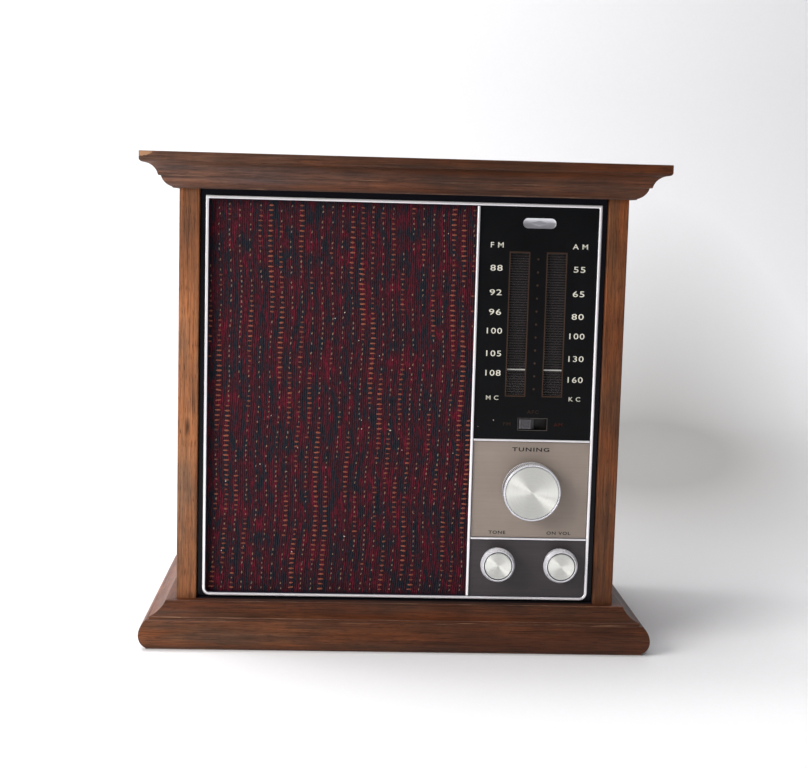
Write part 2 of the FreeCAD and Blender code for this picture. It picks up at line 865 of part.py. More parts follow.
def capacitor_frame():
    half = capacitor_size / 2
    front = chassis_depth + sheet
    back = front + capacitor_depth
    walls = []
    for depth in (front, back - capacitor_sheet):
        wall = box(drum_x - half, drum_x + half, depth, depth + capacitor_sheet,
                   drum_z - half, drum_z + half)
        walls.append(wall.cut(rod(drum_x, drum_z, shaft_radius + running_gap,
                                  depth, depth + capacitor_sheet)))
    floor = box(drum_x - half, drum_x + half, front, back,
                drum_z - half, drum_z - half + capacitor_sheet)
    return walls[0].fuse([walls[1], floor])


def capacitor_rotor():
    front = cord_depth - groove_width / 2 - pulley_flange
    back = chassis_depth + sheet + capacitor_depth + capacitor_sheet
    shaft = rod(drum_x, drum_z, shaft_radius, front, back)
    plates = [half_disc(rotor_radius, 0, depth, depth + rotor_plate, -1)
              for depth in plate_depths()]
    return shaft.fuse(plates)


def capacitor_stator():
    reach = rotor_radius + stator_reach
    middle = (plate_pitch - rotor_plate - stator_plate) / 2
    plates = [half_disc(reach, stator_inner_radius, depth + rotor_plate + middle,
                        depth + rotor_plate + middle + stator_plate, 1)
              for depth in plate_depths()[:-1]]
    front = chassis_depth + sheet + capacitor_sheet
    back = front + capacitor_depth - 2 * capacitor_sheet
    bars = []
    bar_circle = rotor_radius + stator_reach / 2
    for angle in (-50, 50):
        x = drum_x + bar_circle * math.cos(math.radians(angle))
        z = drum_z + bar_circle * math.sin(math.radians(angle))
        bars.append(rod(x, z, stator_bar / 2, front, back))
    return bars[0].fuse(plates + bars[1:])


# ---- controls ----

def hexagon(x, z, across, depth0, depth1, bore):
    radius = across / math.sqrt(3)
    y = at_depth(depth0)
    points = [FreeCAD.Vector(x + radius * math.cos(math.radians(60 * i)), y,
                             z + radius * math.sin(math.radians(60 * i))) for i in range(6)]
    solid = Part.Face(Part.makePolygon(points + points[:1])).extrude(
        FreeCAD.Vector(0, depth1 - depth0, 0))
    return solid.cut(rod(x, z, bore, depth0, depth1))


def control_pots():
    """The tone and volume controls with their nuts; the volume one carries the mains switch."""
    behind = chassis_depth + sheet
    solids = []
    for x in (tone_x, volume_x):
        body = rod(x, small_z, pot_radius, behind, behind + pot_depth)
        if x == volume_x:
            can = rod(x, small_z, switch_can_radius, behind + pot_depth,
                      behind + pot_depth + switch_can_depth)
            body = body.fuse(can)
        neck = rod(x, small_z, bushing_radius, behind - pot_bushing_length, behind)
        bore = rod(x, small_z, shaft_radius + running_gap, behind - pot_bushing_length,
                   behind + pot_depth - pot_floor)
        solids.append(body.fuse(neck).cut(bore))
        solids.append(hexagon(x, small_z, pot_nut, chassis_depth - pot_nut_thickness,
                              chassis_depth, bushing_radius + part_clearance))
    return solids


# ---- loudspeaker ----

def speaker_screw_places():
    offset = speaker_screw_circle * math.sqrt(0.5)
    return [(speaker_x + sx * offset, speaker_z + sz * offset) for sx in (-1, 1) for sz in (-1, 1)]


def speaker_basket():
    """The pressed steel basket: flange, four ribs and the seat of the magnet."""
    front = baffle_back
    back = front + speaker_depth
    outline = [(speaker_mouth_radius, front), (speaker_radius, front),
               (speaker_radius, front + speaker_wall),
               (speaker_mouth_radius + speaker_wall, front + speaker_wall),
               (speaker_throat_radius + speaker_wall, back - speaker_wall),
               (speaker_throat_radius + speaker_wall, back), (magnet_gap_outer, back),
               (magnet_gap_outer, back - speaker_wall), (speaker_throat_radius, back - speaker_wall),
               (speaker_mouth_radius, front + speaker_wall)]
    solid = turned(speaker_x, speaker_z, outline)
    slot_half = speaker_mouth_radius * basket_slot_share
    slot_front = front + basket_slot_inset
    slot_back = back - basket_slot_inset
    reach = speaker_radius + 1
    solid = solid.cut([box(speaker_x - reach, speaker_x + reach, slot_front, slot_back,
                           speaker_z - slot_half, speaker_z + slot_half),
                       box(speaker_x - slot_half, speaker_x + slot_half, slot_front, slot_back,
                           speaker_z - reach, speaker_z + reach)])
    for x, z in speaker_screw_places():
        solid = solid.cut(rod(x, z, screw_radius + part_clearance, front, front + speaker_wall))
    return solid


def speaker_magnet():
    front = baffle_back + speaker_depth
    back = front + magnet_depth
    outline = [(magnet_gap_outer, front), (magnet_radius, front), (magnet_radius, back),
               (0, back), (0, front), (pole_radius, front), (pole_radius, back - magnet_floor),
               (magnet_gap_outer, back - magnet_floor)]
    return turned(speaker_x, speaker_z, outline)


def speaker_cone():
    """Paper cone, rolled edge, dust cap and voice coil in one moving piece."""
    edge = baffle_back + cone_setback
    neck = baffle_back + speaker_depth - speaker_wall - cone_neck_gap
    mouth = speaker_mouth_radius - cone_edge_gap
    outline = [(mouth, edge), (mouth, edge + cone_thickness),
               (mouth - cone_roll, edge + cone_thickness),
               (coil_outer_radius, neck), (coil_outer_radius, neck + coil_length),
               (coil_inner_radius, neck + coil_length), (coil_inner_radius, neck - coil_seam),
               (0, neck - dust_cap_height), (0, neck - dust_cap_height - cone_thickness),
               (coil_outer_radius, neck - coil_seam - cone_thickness),
               (mouth - cone_roll, edge - cone_thickness),
               (mouth - cone_roll / 2, edge - cone_roll_height)]
    return turned(speaker_x, speaker_z, outline)


# ---- chassis and electronics ----

def chassis_screw_places():
    inset = 2 * screw_head_radius
    return [(x, depth) for x in (chassis_left + inset, chassis_right - inset)
            for depth in (circuit_front - 2 * inset / 3, chassis_back - inset)]


def circuit_corners():
    inset = circuit_margin + standoff_radius
    return [(x, depth) for x in (chassis_left + circuit_margin + inset,
                                 chassis_right - circuit_margin - inset)
            for depth in (circuit_front + inset + screw_head_radius,
                          chassis_back - 4 * screw_head_radius - inset)]


def chassis_pan():
    """A folded sheet: the upright plate behind the dial and the tray on the bottom board."""
    upright = box(chassis_left, chassis_right, chassis_depth, chassis_depth + sheet,
                  base_height, chassis_top)
    tray = box(chassis_left, chassis_right, chassis_depth, chassis_back,
               base_height, base_height + sheet)
    stand = [post(x, depth, standoff_radius, base_height + sheet, circuit_z)
             for x, depth in circuit_corners()]
    idler_front = cord_depth - groove_width / 2 - pulley_flange - 2 * running_gap
    idler_back = cord_depth + groove_width / 2 + pulley_flange + 2 * running_gap
    stand.append(rod(idler_x, idler_z, idler_post_radius, idler_front - sheet, chassis_depth))
    collar = idler_post_radius + idler_post_collar
    stand.append(rod(idler_x, idler_z, collar, idler_front - sheet, idler_front))
    stand.append(rod(idler_x, idler_z, collar, idler_back, chassis_depth))
    solid = upright.fuse([tray] + stand)
    through = chassis_depth + sheet
    solid = solid.cut(rod(drum_x, drum_z, shaft_radius + shaft_hole_gap, chassis_depth, through))
    solid = solid.cut(rod(column_x, tuning_z, bushing_radius, chassis_depth, through))
    for x in (tone_x, volume_x):
        solid = solid.cut(rod(x, small_z, bushing_radius, chassis_depth, through))
    for x, depth in chassis_screw_places():
        solid = solid.cut(post(x, depth, screw_radius + part_clearance,
                               base_height, base_height + sheet))
    return solid


def circuit_board():
    return box(chassis_left + circuit_margin, chassis_right - circuit_margin,
               circuit_front + 2 * screw_head_radius, chassis_back - 3 * screw_head_radius,
               circuit_z, circuit_z + circuit_thickness)


def board_spots(count, share, depth_share):
    """Places spread along the circuit board, as a share of its width and of its depth."""
    x0 = chassis_left + circuit_margin
    width = chassis_right - chassis_left - 2 * circuit_margin
    depth0 = circuit_front + 2 * screw_head_radius
    length = chassis_back - 3 * screw_head_radius - depth0
    return [(x0 + share * width, depth0 + length * (depth_share + index) / count)
            for index in range(count)]


def if_cans():
    z = circuit_z + circuit_thickness
    half = can_side / 2
    return [box(x - half, x + half, depth - half, depth + half, z, z + can_height)
            for x, depth in board_spots(can_count, can_row, 0.5)]


def electrolytic_cans():
    z = circuit_z + circuit_thickness
    return [post(x, depth, capacitor_can_radius, z, z + capacitor_can_height)
            for x, depth in board_spots(capacitor_can_count, capacitor_can_row, 0.5)]


def output_transistors():
    z = circuit_z + circuit_thickness
    return [box(x - transistor_width / 2, x + transistor_width / 2,
                depth - transistor_thickness / 2, depth + transistor_thickness / 2,
                z, z + transistor_height)
            for x, depth in board_spots(transistor_count, transistor_row, 0.6)]


def power_transformer():
    """Laminated core with its winding, standing on the bottom board behind the loudspeaker."""
    middle = (cleat_depth + baffle_back) / 2 + transformer_depth
    half = transformer_length / 2
    core = box(transformer_x - half, transformer_x + half, middle - transformer_depth / 2,
               middle + transformer_depth / 2, base_height, base_height + transformer_height)
    yoke = transformer_height * transformer_yoke_share
    coil_half = transformer_length * transformer_coil_share
    coil = box(transformer_x - coil_half, transformer_x + coil_half,
               middle - transformer_depth / 2 - transformer_coil,
               middle + transformer_depth / 2 + transformer_coil,
               base_height + yoke, base_height + transformer_height - yoke)
    return round_edges(coil, transformer_coil_round, lambda e: e.BoundBox.ZLength > yoke).fuse(core)


def ferrite_rod():
    z = under_top - ferrite_drop
    start = FreeCAD.Vector(ferrite_x - ferrite_length / 2, at_depth(ferrite_depth), z)
    return Part.makeCylinder(ferrite_radius, ferrite_length, start, FreeCAD.Vector(1, 0, 0))


def rod_brackets():
    """Two plastic cradles that hang the ferrite rod from the top board."""
    z = under_top - ferrite_drop
    half = ferrite_radius + carriage_wall
    cradles = []
    for side in (-1, 1):
        x = ferrite_x + side * ferrite_length * bracket_share
        cradle = box(x - bracket_width / 2, x + bracket_width / 2, ferrite_depth - half,
                     ferrite_depth + half, z - half, under_top)
        bore = Part.makeCylinder(ferrite_radius + part_clearance, 2 * bracket_width,
                                 FreeCAD.Vector(x - bracket_width, at_depth(ferrite_depth), z),
                                 FreeCAD.Vector(1, 0, 0))
        cradles.append(cradle.cut(bore))
    return cradles


def dial_lamp():
    """A small lamp in its clip, beside the dial plate."""
    x = column_x + lamp_offset
    z = (window_bottom + window_top) / 2
    depth = chassis_depth - lamp_socket_radius
    socket = post(x, depth, lamp_socket_radius, z - lamp_socket_height, z)
    bulb = post(x, depth, lamp_radius, z, z + lamp_bulb_height - lamp_radius)
    tip = Part.makeSphere(lamp_radius, FreeCAD.Vector(x, at_depth(depth),
                                                      z + lamp_bulb_height - lamp_radius))
    clip = box(x - lamp_socket_radius / 2, x + lamp_socket_radius / 2, depth, chassis_depth,
               z - lamp_socket_height, z - lamp_socket_height / 2)
    return socket.fuse([bulb, tip, clip])


# ---- back ----

def back_cover():
    solid = box(-inner_half + fit_gap, inner_half - fit_gap, cover_depth,
                cover_depth + back_thickness, base_height - board + fit_gap, under_top - fit_gap)
    back = cover_depth + back_thickness
    slots = []
    for side in (-1, 1):
        for row in range(vent_rows):
            z = base_height + vent_rise + (row - (vent_rows - 1) / 2) * vent_pitch
            x = side * vent_offset
            slots.append(box(x - vent_width / 2, x + vent_width / 2, cover_depth, back,
                             z - vent_height / 2, z + vent_height / 2))
    solid = solid.cut(slots)
    inlet_z = base_height + inlet_rise
    half_w = inlet_width / 2 - inlet_flange
    half_h = inlet_height / 2 - inlet_flange
    solid = solid.cut(box(inlet_x - half_w, inlet_x + half_w, cover_depth, back,
                          inlet_z - half_h, inlet_z + half_h))
    terminal_z = base_height + terminal_rise
    for x in terminal_places():
        solid = solid.cut(rod(x, terminal_z, screw_radius + part_clearance, cover_depth, back))
    for side in (-1, 1):
        for z in back_screw_heights():
            solid = solid.cut(rod(side * (inner_half - cleat / 2), z,
                                  screw_radius + part_clearance, cover_depth, back))
    return solid


def mains_inlet():
    """A two-pin socket for a detachable lead, set in the back cover."""
    back = cover_depth + back_thickness
    z = base_height + inlet_rise
    half_w = inlet_width / 2 - inlet_flange - part_clearance
    half_h = inlet_height / 2 - inlet_flange - part_clearance
    shell = box(inlet_x - half_w, inlet_x + half_w, back - inlet_depth, back, z - half_h, z + half_h)
    flange = box(inlet_x - inlet_width / 2, inlet_x + inlet_width / 2, back, back + inlet_flange,
                 z - inlet_height / 2, z + inlet_height / 2)
    well = box(inlet_x - half_w + inlet_wall, inlet_x + half_w - inlet_wall,
               back - inlet_depth + inlet_wall, back + inlet_flange,
               z - half_h + inlet_wall, z + half_h - inlet_wall)
    floor = back - inlet_depth + inlet_wall
    pins = [rod(inlet_x + side * inlet_pin_spacing / 2, z, inlet_pin_radius,
                floor, floor + inlet_pin_length) for side in (-1, 1)]
    return shell.fuse(flange).cut(well).fuse(pins)


def terminal_places():
    pitch = terminal_width / terminal_count
    return [terminal_x + (index - (terminal_count - 1) / 2) * pitch
            for index in range(terminal_count)]


def antenna_terminals():
    back = cover_depth + back_thickness
    z = base_height + terminal_rise
    solid = box(terminal_x - terminal_width / 2, terminal_x + terminal_width / 2, back,
                back + terminal_thickness, z - terminal_height / 2, z + terminal_height / 2)
    studs = []
    for x in terminal_places():
        studs.append(rod(x, z, terminal_screw_radius, back + terminal_thickness,
                         cabinet_depth - fit_gap))
        studs.append(rod(x, z, screw_radius, back - back_thickness - terminal_lug, back))
    return solid.fuse(studs)


def screw_along_y(x, z, seat_depth, sign):
    """A round-headed screw: sign 1 has its head behind the seat, -1 in front of it."""
    if sign > 0:
        head = rod(x, z, screw_head_radius, seat_depth, seat_depth + screw_head_height)
        shank = rod(x, z, screw_radius, seat_depth - screw_length, seat_depth)
    else:
        head = rod(x, z, screw_head_radius, seat_depth - screw_head_height, seat_depth)
        shank = rod(x, z, screw_radius, seat_depth, seat_depth + screw_length)
    return head.fuse(shank)


def wood_screws():
    screws = []
    for side in (-1, 1):
        for z in back_screw_heights():
            screws.append(screw_along_y(side * (inner_half - cleat / 2), z,
                                        cover_depth + back_thickness, 1))
    for x, z in speaker_screw_places():
        screws.append(screw_along_y(x, z, baffle_back + speaker_wall, 1))
    seat = base_height + sheet
    for x, depth in chassis_screw_places():
        head = post(x, depth, screw_head_radius, seat, seat + screw_head_height)
        screws.append(head.fuse(post(x, depth, screw_radius, seat - screw_length, seat)))
    return screws


def bottom_board():
    solid = box(-inner_half, inner_half, 0, cover_depth, base_height - board, base_height)
    for x, depth in chassis_screw_places():
        solid = solid.cut(post(x, depth, screw_radius + part_clearance,
                               base_height - screw_length, base_height))
    return solid


def main():
    os.makedirs("parts", exist_ok=True)
    save("left_side_board", side_board(-1))
    save("right_side_board", side_board(1))
    save("top_board", box(-half_width, half_width, 0, cabinet_depth, under_top, overall_height))
    save("bottom_board", bottom_board())
    for side, place in ((0, "front"), (-1, "left"), (1, "right")):
        save("crown_" + place, moulding(crown_profile(), crown_overhang, side))
        save("base_" + place, moulding(base_profile(), base_overhang, side))
    save("corner_cleats", group(cleats()))

    save("baffle_board", baffle_board())
    save("grille_cloth", grille_cloth())
    save("front_frame", front_frame())
    save("trim_ring", trim_ring())
    save("column_divider", column_divider())
    save("cross_dividers", group(cross_dividers()))
    save("dial_panel", dial_panel())
    save("window_lenses", group(window_boxes(frame_depth - lens_thickness, frame_depth,
                                             part_clearance)))
    save("dial_reflector", dial_reflector())
    save("tuning_panel", tuning_panel())
    save("lower_panel", lower_panel())
    save("emblem_plate", emblem_plate())
    save("band_switch_housing", switch_housing())
    save("band_switch_slider", switch_slider())

    save("tuning_knob", knob(column_x, tuning_z, tuning_knob_radius, tuning_knob_radius - part_clearance,
                             tuning_knob_depth / 2, tuning_knob_depth, tuning_cap_radius,
                             small_knob_lip))
    save("tuning_knob_cap", knob_cap(column_x, tuning_z, tuning_knob_depth, tuning_cap_radius))
    save("tuning_shaft", tuning_shaft())
    save("tuning_bushing", tuning_bushing())
    small_shoulder_radius = small_cap_radius + part_clearance + small_knob_lip
    for name, x in (("tone", tone_x), ("volume", volume_x)):
        save(name + "_knob", knob(x, small_z, small_knob_radius, small_shoulder_radius,
                                  small_knob_shoulder, small_knob_depth, small_cap_radius,
                                  small_knob_lip))
        save(name + "_knob_cap", knob_cap(x, small_z, small_knob_depth, small_cap_radius))
        save(name + "_shaft", control_shaft(x, small_z))
    save("control_pots", group(control_pots()))

    save("dial_drum", dial_drum())
    save("idler_pulley", pulley(idler_x, idler_z, idler_radius, idler_post_radius + running_gap))
    save("dial_cord", dial_cord())
    save("pointer_rail", pointer_rail())
    save("pointer_carriage", pointer_carriage())
    save("capacitor_frame", capacitor_frame())
    save("capacitor_rotor", capacitor_rotor())
    save("capacitor_stator", capacitor_stator())

    save("speaker_basket", speaker_basket())
    save("speaker_magnet", speaker_magnet())
    save("speaker_cone", speaker_cone())

    save("chassis_pan", chassis_pan())
    save("circuit_board", circuit_board())
    save("if_cans", group(if_cans()))
    save("electrolytic_cans", group(electrolytic_cans()))
    save("output_transistors", group(output_transistors()))
    save("power_transformer", power_transformer())
    save("ferrite_rod", ferrite_rod())
    save("rod_brackets", group(rod_brackets()))
    save("dial_lamp", dial_lamp())

    save("back_cover", back_cover())
    save("mains_inlet", mains_inlet())
    save("antenna_terminals", antenna_terminals())
    save("wood_screws", group(wood_screws()))


main()
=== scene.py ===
"""Table radio in a walnut cabinet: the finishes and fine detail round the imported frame."""

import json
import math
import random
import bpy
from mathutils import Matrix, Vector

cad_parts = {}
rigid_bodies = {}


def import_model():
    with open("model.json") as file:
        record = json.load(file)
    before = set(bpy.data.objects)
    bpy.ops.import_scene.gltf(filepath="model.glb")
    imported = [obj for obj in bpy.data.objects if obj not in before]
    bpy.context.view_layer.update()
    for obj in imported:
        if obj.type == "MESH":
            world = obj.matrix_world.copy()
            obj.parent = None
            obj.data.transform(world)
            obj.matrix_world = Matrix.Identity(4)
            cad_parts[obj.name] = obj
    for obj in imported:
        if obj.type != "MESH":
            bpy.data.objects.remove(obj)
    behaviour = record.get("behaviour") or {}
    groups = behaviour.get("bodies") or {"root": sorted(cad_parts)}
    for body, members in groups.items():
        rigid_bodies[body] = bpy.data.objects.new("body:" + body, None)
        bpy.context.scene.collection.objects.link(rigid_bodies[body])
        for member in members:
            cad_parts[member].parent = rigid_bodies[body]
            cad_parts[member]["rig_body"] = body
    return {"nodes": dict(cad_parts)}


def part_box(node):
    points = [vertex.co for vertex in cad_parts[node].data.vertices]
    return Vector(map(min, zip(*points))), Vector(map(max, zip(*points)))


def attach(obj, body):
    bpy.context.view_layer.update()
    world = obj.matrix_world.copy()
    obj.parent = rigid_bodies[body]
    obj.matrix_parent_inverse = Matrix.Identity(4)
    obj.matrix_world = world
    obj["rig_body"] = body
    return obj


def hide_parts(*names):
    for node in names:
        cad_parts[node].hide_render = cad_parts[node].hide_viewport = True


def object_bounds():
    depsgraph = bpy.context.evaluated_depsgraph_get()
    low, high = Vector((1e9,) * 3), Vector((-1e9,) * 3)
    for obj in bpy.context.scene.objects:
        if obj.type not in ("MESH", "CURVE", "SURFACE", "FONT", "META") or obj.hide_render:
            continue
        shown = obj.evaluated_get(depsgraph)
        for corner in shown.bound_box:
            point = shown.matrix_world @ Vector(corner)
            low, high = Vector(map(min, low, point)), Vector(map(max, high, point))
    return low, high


bl_info = {
    "name": "Walnut table radio",
    "version": (1, 0, 0),
    "blender": (4, 5, 0),
    "location": "View3D > Sidebar > Table Radio",
    "description": "Dresses the frame of a walnut table radio and sets up its stage",
    "category": "Add Mesh",
}

import bmesh
import bpy
from bpy.props import FloatProperty, FloatVectorProperty, IntProperty, PointerProperty
from mathutils import Matrix, Vector

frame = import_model()
CAD_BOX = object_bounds()

MM = 0.001
X, Y, Z = 0, 1, 2
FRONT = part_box("left_side_board")[0].y


# ---------------------------------------------------------------- settings

def shade(red, green, blue):
    """An everyday 0 to 255 colour, as the linear one that Blender works in."""
    return tuple(((v / 255 + 0.055) / 1.055) ** 2.4 for v in (red, green, blue))


def colour(name, description, red, green, blue):
    return FloatVectorProperty(name=name, description=description, subtype="COLOR", size=3,
                               min=0.0, max=1.0, default=shade(red, green, blue))


def length(name, description, millimetres):
    return FloatProperty(name=name, description=description, unit="LENGTH", precision=5,
                         min=0.0, default=millimetres * MM)


def share(name, description, value):
    return FloatProperty(name=name, description=description, subtype="FACTOR",
                         min=0.0, max=1.0, default=value)


class WoodSettings(bpy.types.PropertyGroup):
    # Painted light and shade: the left board's tone is lightened by painted light and the right
    # board's is darkened by painted shade; both boards are one walnut.
    left: colour("Left board", "Walnut of the left side board", 150, 104, 74)
    right: colour("Right board", "Walnut of the right side board", 106, 66, 42)
    crown: colour("Crown", "Walnut of the crown moulding", 78, 46, 29)
    base: colour("Base", "Walnut of the base moulding", 80, 47, 31)
    grain: colour("Grain", "Dark lines of the grain", 38, 24, 19)
    worn: colour("Worn edges", "Bare wood on the arrises", 150, 112, 84)
    edge: length("Edge round", "Width of the softened arrises", 0.35)


class ClothSettings(bpy.types.PropertyGroup):
    night: colour("Night threads", "Blue-black threads of the ground", 24, 30, 38)
    burgundy: colour("Burgundy threads", "Dull red threads of the ground", 58, 24, 32)
    crimson: colour("Crimson threads", "Bright red threads of the ground", 96, 20, 38)
    floats: colour("Floats", "Orange-tan yarn of the wide floats", 142, 76, 54)
    flecks: colour("Flecks", "Pale yarn of the narrow flecks", 138, 112, 90)
    column: length("Column pitch", "Distance between the columns of floats", 6.45)
    row: length("Row pitch", "Distance between floats along a column", 3.2)
    relief: length("Relief", "Height of the ridges of the weave", 0.3)


class FrontSettings(bpy.types.PropertyGroup):
    moulding: colour("Moulding", "Black frame round the front", 9, 8, 20)
    dial: colour("Dial", "Black dial plate", 9, 10, 12)
    window: colour("Windows", "Dark ribbed plate behind the dial windows", 44, 38, 39)
    champagne: colour("Tuning panel", "Satin panel behind the tuning knob", 150, 137, 127)
    charcoal: colour("Lower panel", "Dark panel behind the small knobs", 62, 57, 59)
    figures: colour("Figures", "Off-white dial figures", 214, 211, 198)
    dim: colour("Dim marks", "Brown marks on the dial", 74, 55, 44)
    ink: colour("Ink", "Black lettering on the satin panel", 22, 20, 20)
    figure_height: length("Figure height", "Height of the dial figures", 3.7)
    letter_height: length("Letter height", "Height of the band letters", 3.3)
    mark_thickness: length("Mark thickness", "How far printed marks stand proud", 0.04)


class MetalSettings(bpy.types.PropertyGroup):
    trim: colour("Trim", "Bright anodised trim of the front", 250, 248, 250)
    # Painted shade on the trim's flanks, chosen by which way each surface faces.
    flank: colour("Trim flank", "Duller flanks of the trim", 84, 78, 98)
    bright: colour("Bright metal", "Plated trim and knobs", 226, 226, 232)
    spun: colour("Spun metal", "Turned faces of the knobs", 236, 236, 230)
    polish: share("Polish", "Roughness of the bright metal", 0.16)
    teeth: IntProperty(name="Knurl teeth", description="Teeth round the tuning knob",
                       min=24, max=240, default=104)


class StageSettings(bpy.types.PropertyGroup):
    floor: colour("Floor", "Plain pale floor and backdrop", 240, 240, 242)
    window_power: FloatProperty(name="Window light", description="Soft light from the left",
                                unit="POWER", min=0.0, default=27.0)
    overhead_power: FloatProperty(name="Overhead light", description="Soft light from above",
                                  unit="POWER", min=0.0, default=18.0)
    room: share("Room light", "Strength of the light from all round", 0.45)
    lens: FloatProperty(name="Lens", description="Focal length in millimetres",
                        min=10.0, default=63.94)


# ---------------------------------------------------------------- materials

class Finish:
    """One procedural material, put together node by node."""

    def __init__(self, name, base, roughness, metallic=0.0, values=None):
        self.material = bpy.data.materials.new(name)
        self.material.use_nodes = True
        self.tree = self.material.node_tree
        self.shader = self.tree.nodes["Principled BSDF"]
        sockets = {"Base Color": (*base, 1.0), "Roughness": roughness, "Metallic": metallic}
        sockets.update(values or {})
        for key, value in sockets.items():
            self.shader.inputs[key].default_value = value

    def node(self, kind, sockets=None, **settings):
        made = self.tree.nodes.new("ShaderNode" + kind)
        for key, value in settings.items():
            setattr(made, key, value)
        for key, value in (sockets or {}).items():
            if isinstance(value, bpy.types.NodeSocket):
                self.tree.links.new(value, made.inputs[key])
            else:
                made.inputs[key].default_value = value
        return made

    def place(self, size=(1, 1, 1), centre=(0, 0, 0), turn=(0, 0, 0), uv=None):
        """Coordinates counted from centre, in steps as long as size."""
        if uv:
            source = self.node("UVMap", uv_map=uv).outputs["UV"]
        else:
            source = self.node("TexCoord").outputs["Object"]
        return self.node("Mapping", {"Vector": source, "Location": centre, "Rotation": turn,
                                     "Scale": size}, vector_type="TEXTURE").outputs["Vector"]

    def noise(self, size, detail=3.0, roughness=0.55, distortion=0.0, **where):
        if isinstance(size, float):
            size = (size, size, size)
        return self.node("TexNoise", {"Vector": self.place(size, **where), "Scale": 1.0,
                                      "Detail": detail, "Roughness": roughness,
                                      "Distortion": distortion}).outputs[0]

    def ramp(self, value, *stops):
        made = self.node("ValToRGB", {"Fac": value})
        elements = made.color_ramp.elements
        while len(elements) < len(stops):
            elements.new(0.5)
        for element, (position, tone) in zip(elements, stops):
            element.position = position
            tone = (tone, tone, tone) if isinstance(tone, (int, float)) else tone
            element.color = (*tone, 1.0)
        return made.outputs["Color"]

    def mix(self, factor, first, second, blend="MIX"):
        made = self.node("Mix", data_type="RGBA", blend_type=blend)
        for index, value in ((0, factor), (6, first), (7, second)):
            if isinstance(value, bpy.types.NodeSocket):
                self.tree.links.new(value, made.inputs[index])
            elif index:
                made.inputs[index].default_value = (*value, 1.0)
            else:
                made.inputs[index].default_value = value
        return made.outputs[2]

    def math(self, operation, first, second=0.0):
        return self.node("Math", {0: first, 1: second}, operation=operation).outputs[0]

    def near(self, point, radius, turn=(0, 0, 0)):
        """1 at a point, falling to 0 at radius; radius may differ along each axis."""
        spot = self.place(radius, point, turn)
        away = self.node("VectorMath", {0: spot}, operation="LENGTH").outputs["Value"]
        return self.math("SUBTRACT", 1.0, self.math("MINIMUM", away, 1.0))

    def paint(self, value):
        self.tree.links.new(value, self.shader.inputs["Base Color"])

    def gloss(self, value, low, high):
        spread = self.node("MapRange", {"Value": value, "To Min": low, "To Max": high})
        self.tree.links.new(spread.outputs[0], self.shader.inputs["Roughness"])

    def bump(self, height, distance, strength=1.0):
        made = self.node("Bump", {"Height": height, "Distance": distance * MM,
                                  "Strength": strength})
        self.tree.links.new(made.outputs[0], self.shader.inputs["Normal"])


def dimmed(tone, factor):
    return tuple(v * factor for v in tone)


def walnut(name, run, tone, chip=None, knot=None, painted_light_and_shade=()):
    """Open-grained walnut with its grain along axis run; the last argument holds (point, radius,
    tone) patches of painted light and painted shade.
    """
    wood = bpy.context.scene.radio_wood

    def grain(long, across, detail, rough, twist):
        size = [across * MM] * 3
        size[run] = long * MM
        return finish.noise(tuple(size), detail, rough, twist)

    finish = Finish(name, tone, 0.5, values={"Specular IOR Level": 0.16})
    figure = grain(70, 9.0, 3.0, 0.5, 0.4)
    bands = grain(60, 1.7, 4.0, 0.62, 0.25)
    lines = grain(24, 0.55, 4.0, 0.7, 0.15)
    pores = grain(7, 0.3, 2.0, 0.5, 0.0)
    patches = finish.noise(0.028, 3.0, 0.55, 0.3)
    ground = finish.ramp(bands, (0.30, dimmed(tone, 0.55)), (0.45, dimmed(tone, 0.9)),
                         (0.56, tone), (0.72, dimmed(tone, 1.3)))
    warm = finish.ramp(figure, (0.36, (0.80, 0.92, 1.06)), (0.62, (1.26, 1.02, 0.80)))
    ground = finish.mix(0.85, ground, warm, "MULTIPLY")
    cast = finish.ramp(patches, (0.34, (0.76, 0.78, 0.84)), (0.66, (1.2, 1.14, 1.04)))
    ground = finish.mix(0.8, ground, cast, "MULTIPLY")
    streak = finish.ramp(lines, (0.36, 0.42), (0.47, 0.9), (0.56, 1.02), (0.70, 1.5))
    ground = finish.mix(0.85, ground, streak, "MULTIPLY")
    # Each patch multiplies the wood by its tone: painted light where the tone is above 1, painted
    # shade where it is below 1.
    for point, radius, shadow in painted_light_and_shade:
        ground = finish.mix(finish.near(point, radius), ground, finish.mix(
            1.0, ground, shadow, "MULTIPLY"))
    dark = finish.ramp(pores, (0.33, 1.0), (0.42, 0.0))
    ground = finish.mix(finish.math("MULTIPLY", dark, 0.75), ground, tuple(wood.grain))
    if chip:
        broken = finish.math("ADD", finish.near(*chip), finish.math(
            "MULTIPLY", finish.noise(0.002), 0.35))
        ground = finish.mix(finish.ramp(broken, (0.50, 0.0), (0.56, 1.0)), ground,
                            dimmed(tuple(wood.worn), 1.25))
    if knot:
        eye = finish.ramp(finish.near(*knot), (0.10, 0.0), (0.85, 1.0))
        ground = finish.mix(finish.math("MULTIPLY", eye, 0.8), ground, tuple(wood.grain))
    finish.paint(ground)
    finish.gloss(lines, 0.36, 0.58)
    relief = finish.math("SUBTRACT", finish.math("MULTIPLY", lines, 0.5), dark)
    finish.bump(relief, 0.05, 0.6)
    return finish


def worn_edge(name, run, tone):
    """The same walnut rubbed through to bare wood here and there along an arris."""
    wood = bpy.context.scene.radio_wood
    size = [2.4 * MM] * 3
    size[run] = 24 * MM
    finish = Finish(name, tone, 0.5)
    patch = finish.noise(tuple(size), 4.0, 0.65, 0.2)
    rubbed = finish.ramp(patch, (0.50, 0.0), (0.68, 0.7))
    finish.paint(finish.mix(rubbed, dimmed(tone, 0.9), tuple(wood.worn)))
    finish.gloss(patch, 0.42, 0.6)
    finish.bump(patch, 0.06, 0.5)
    return finish


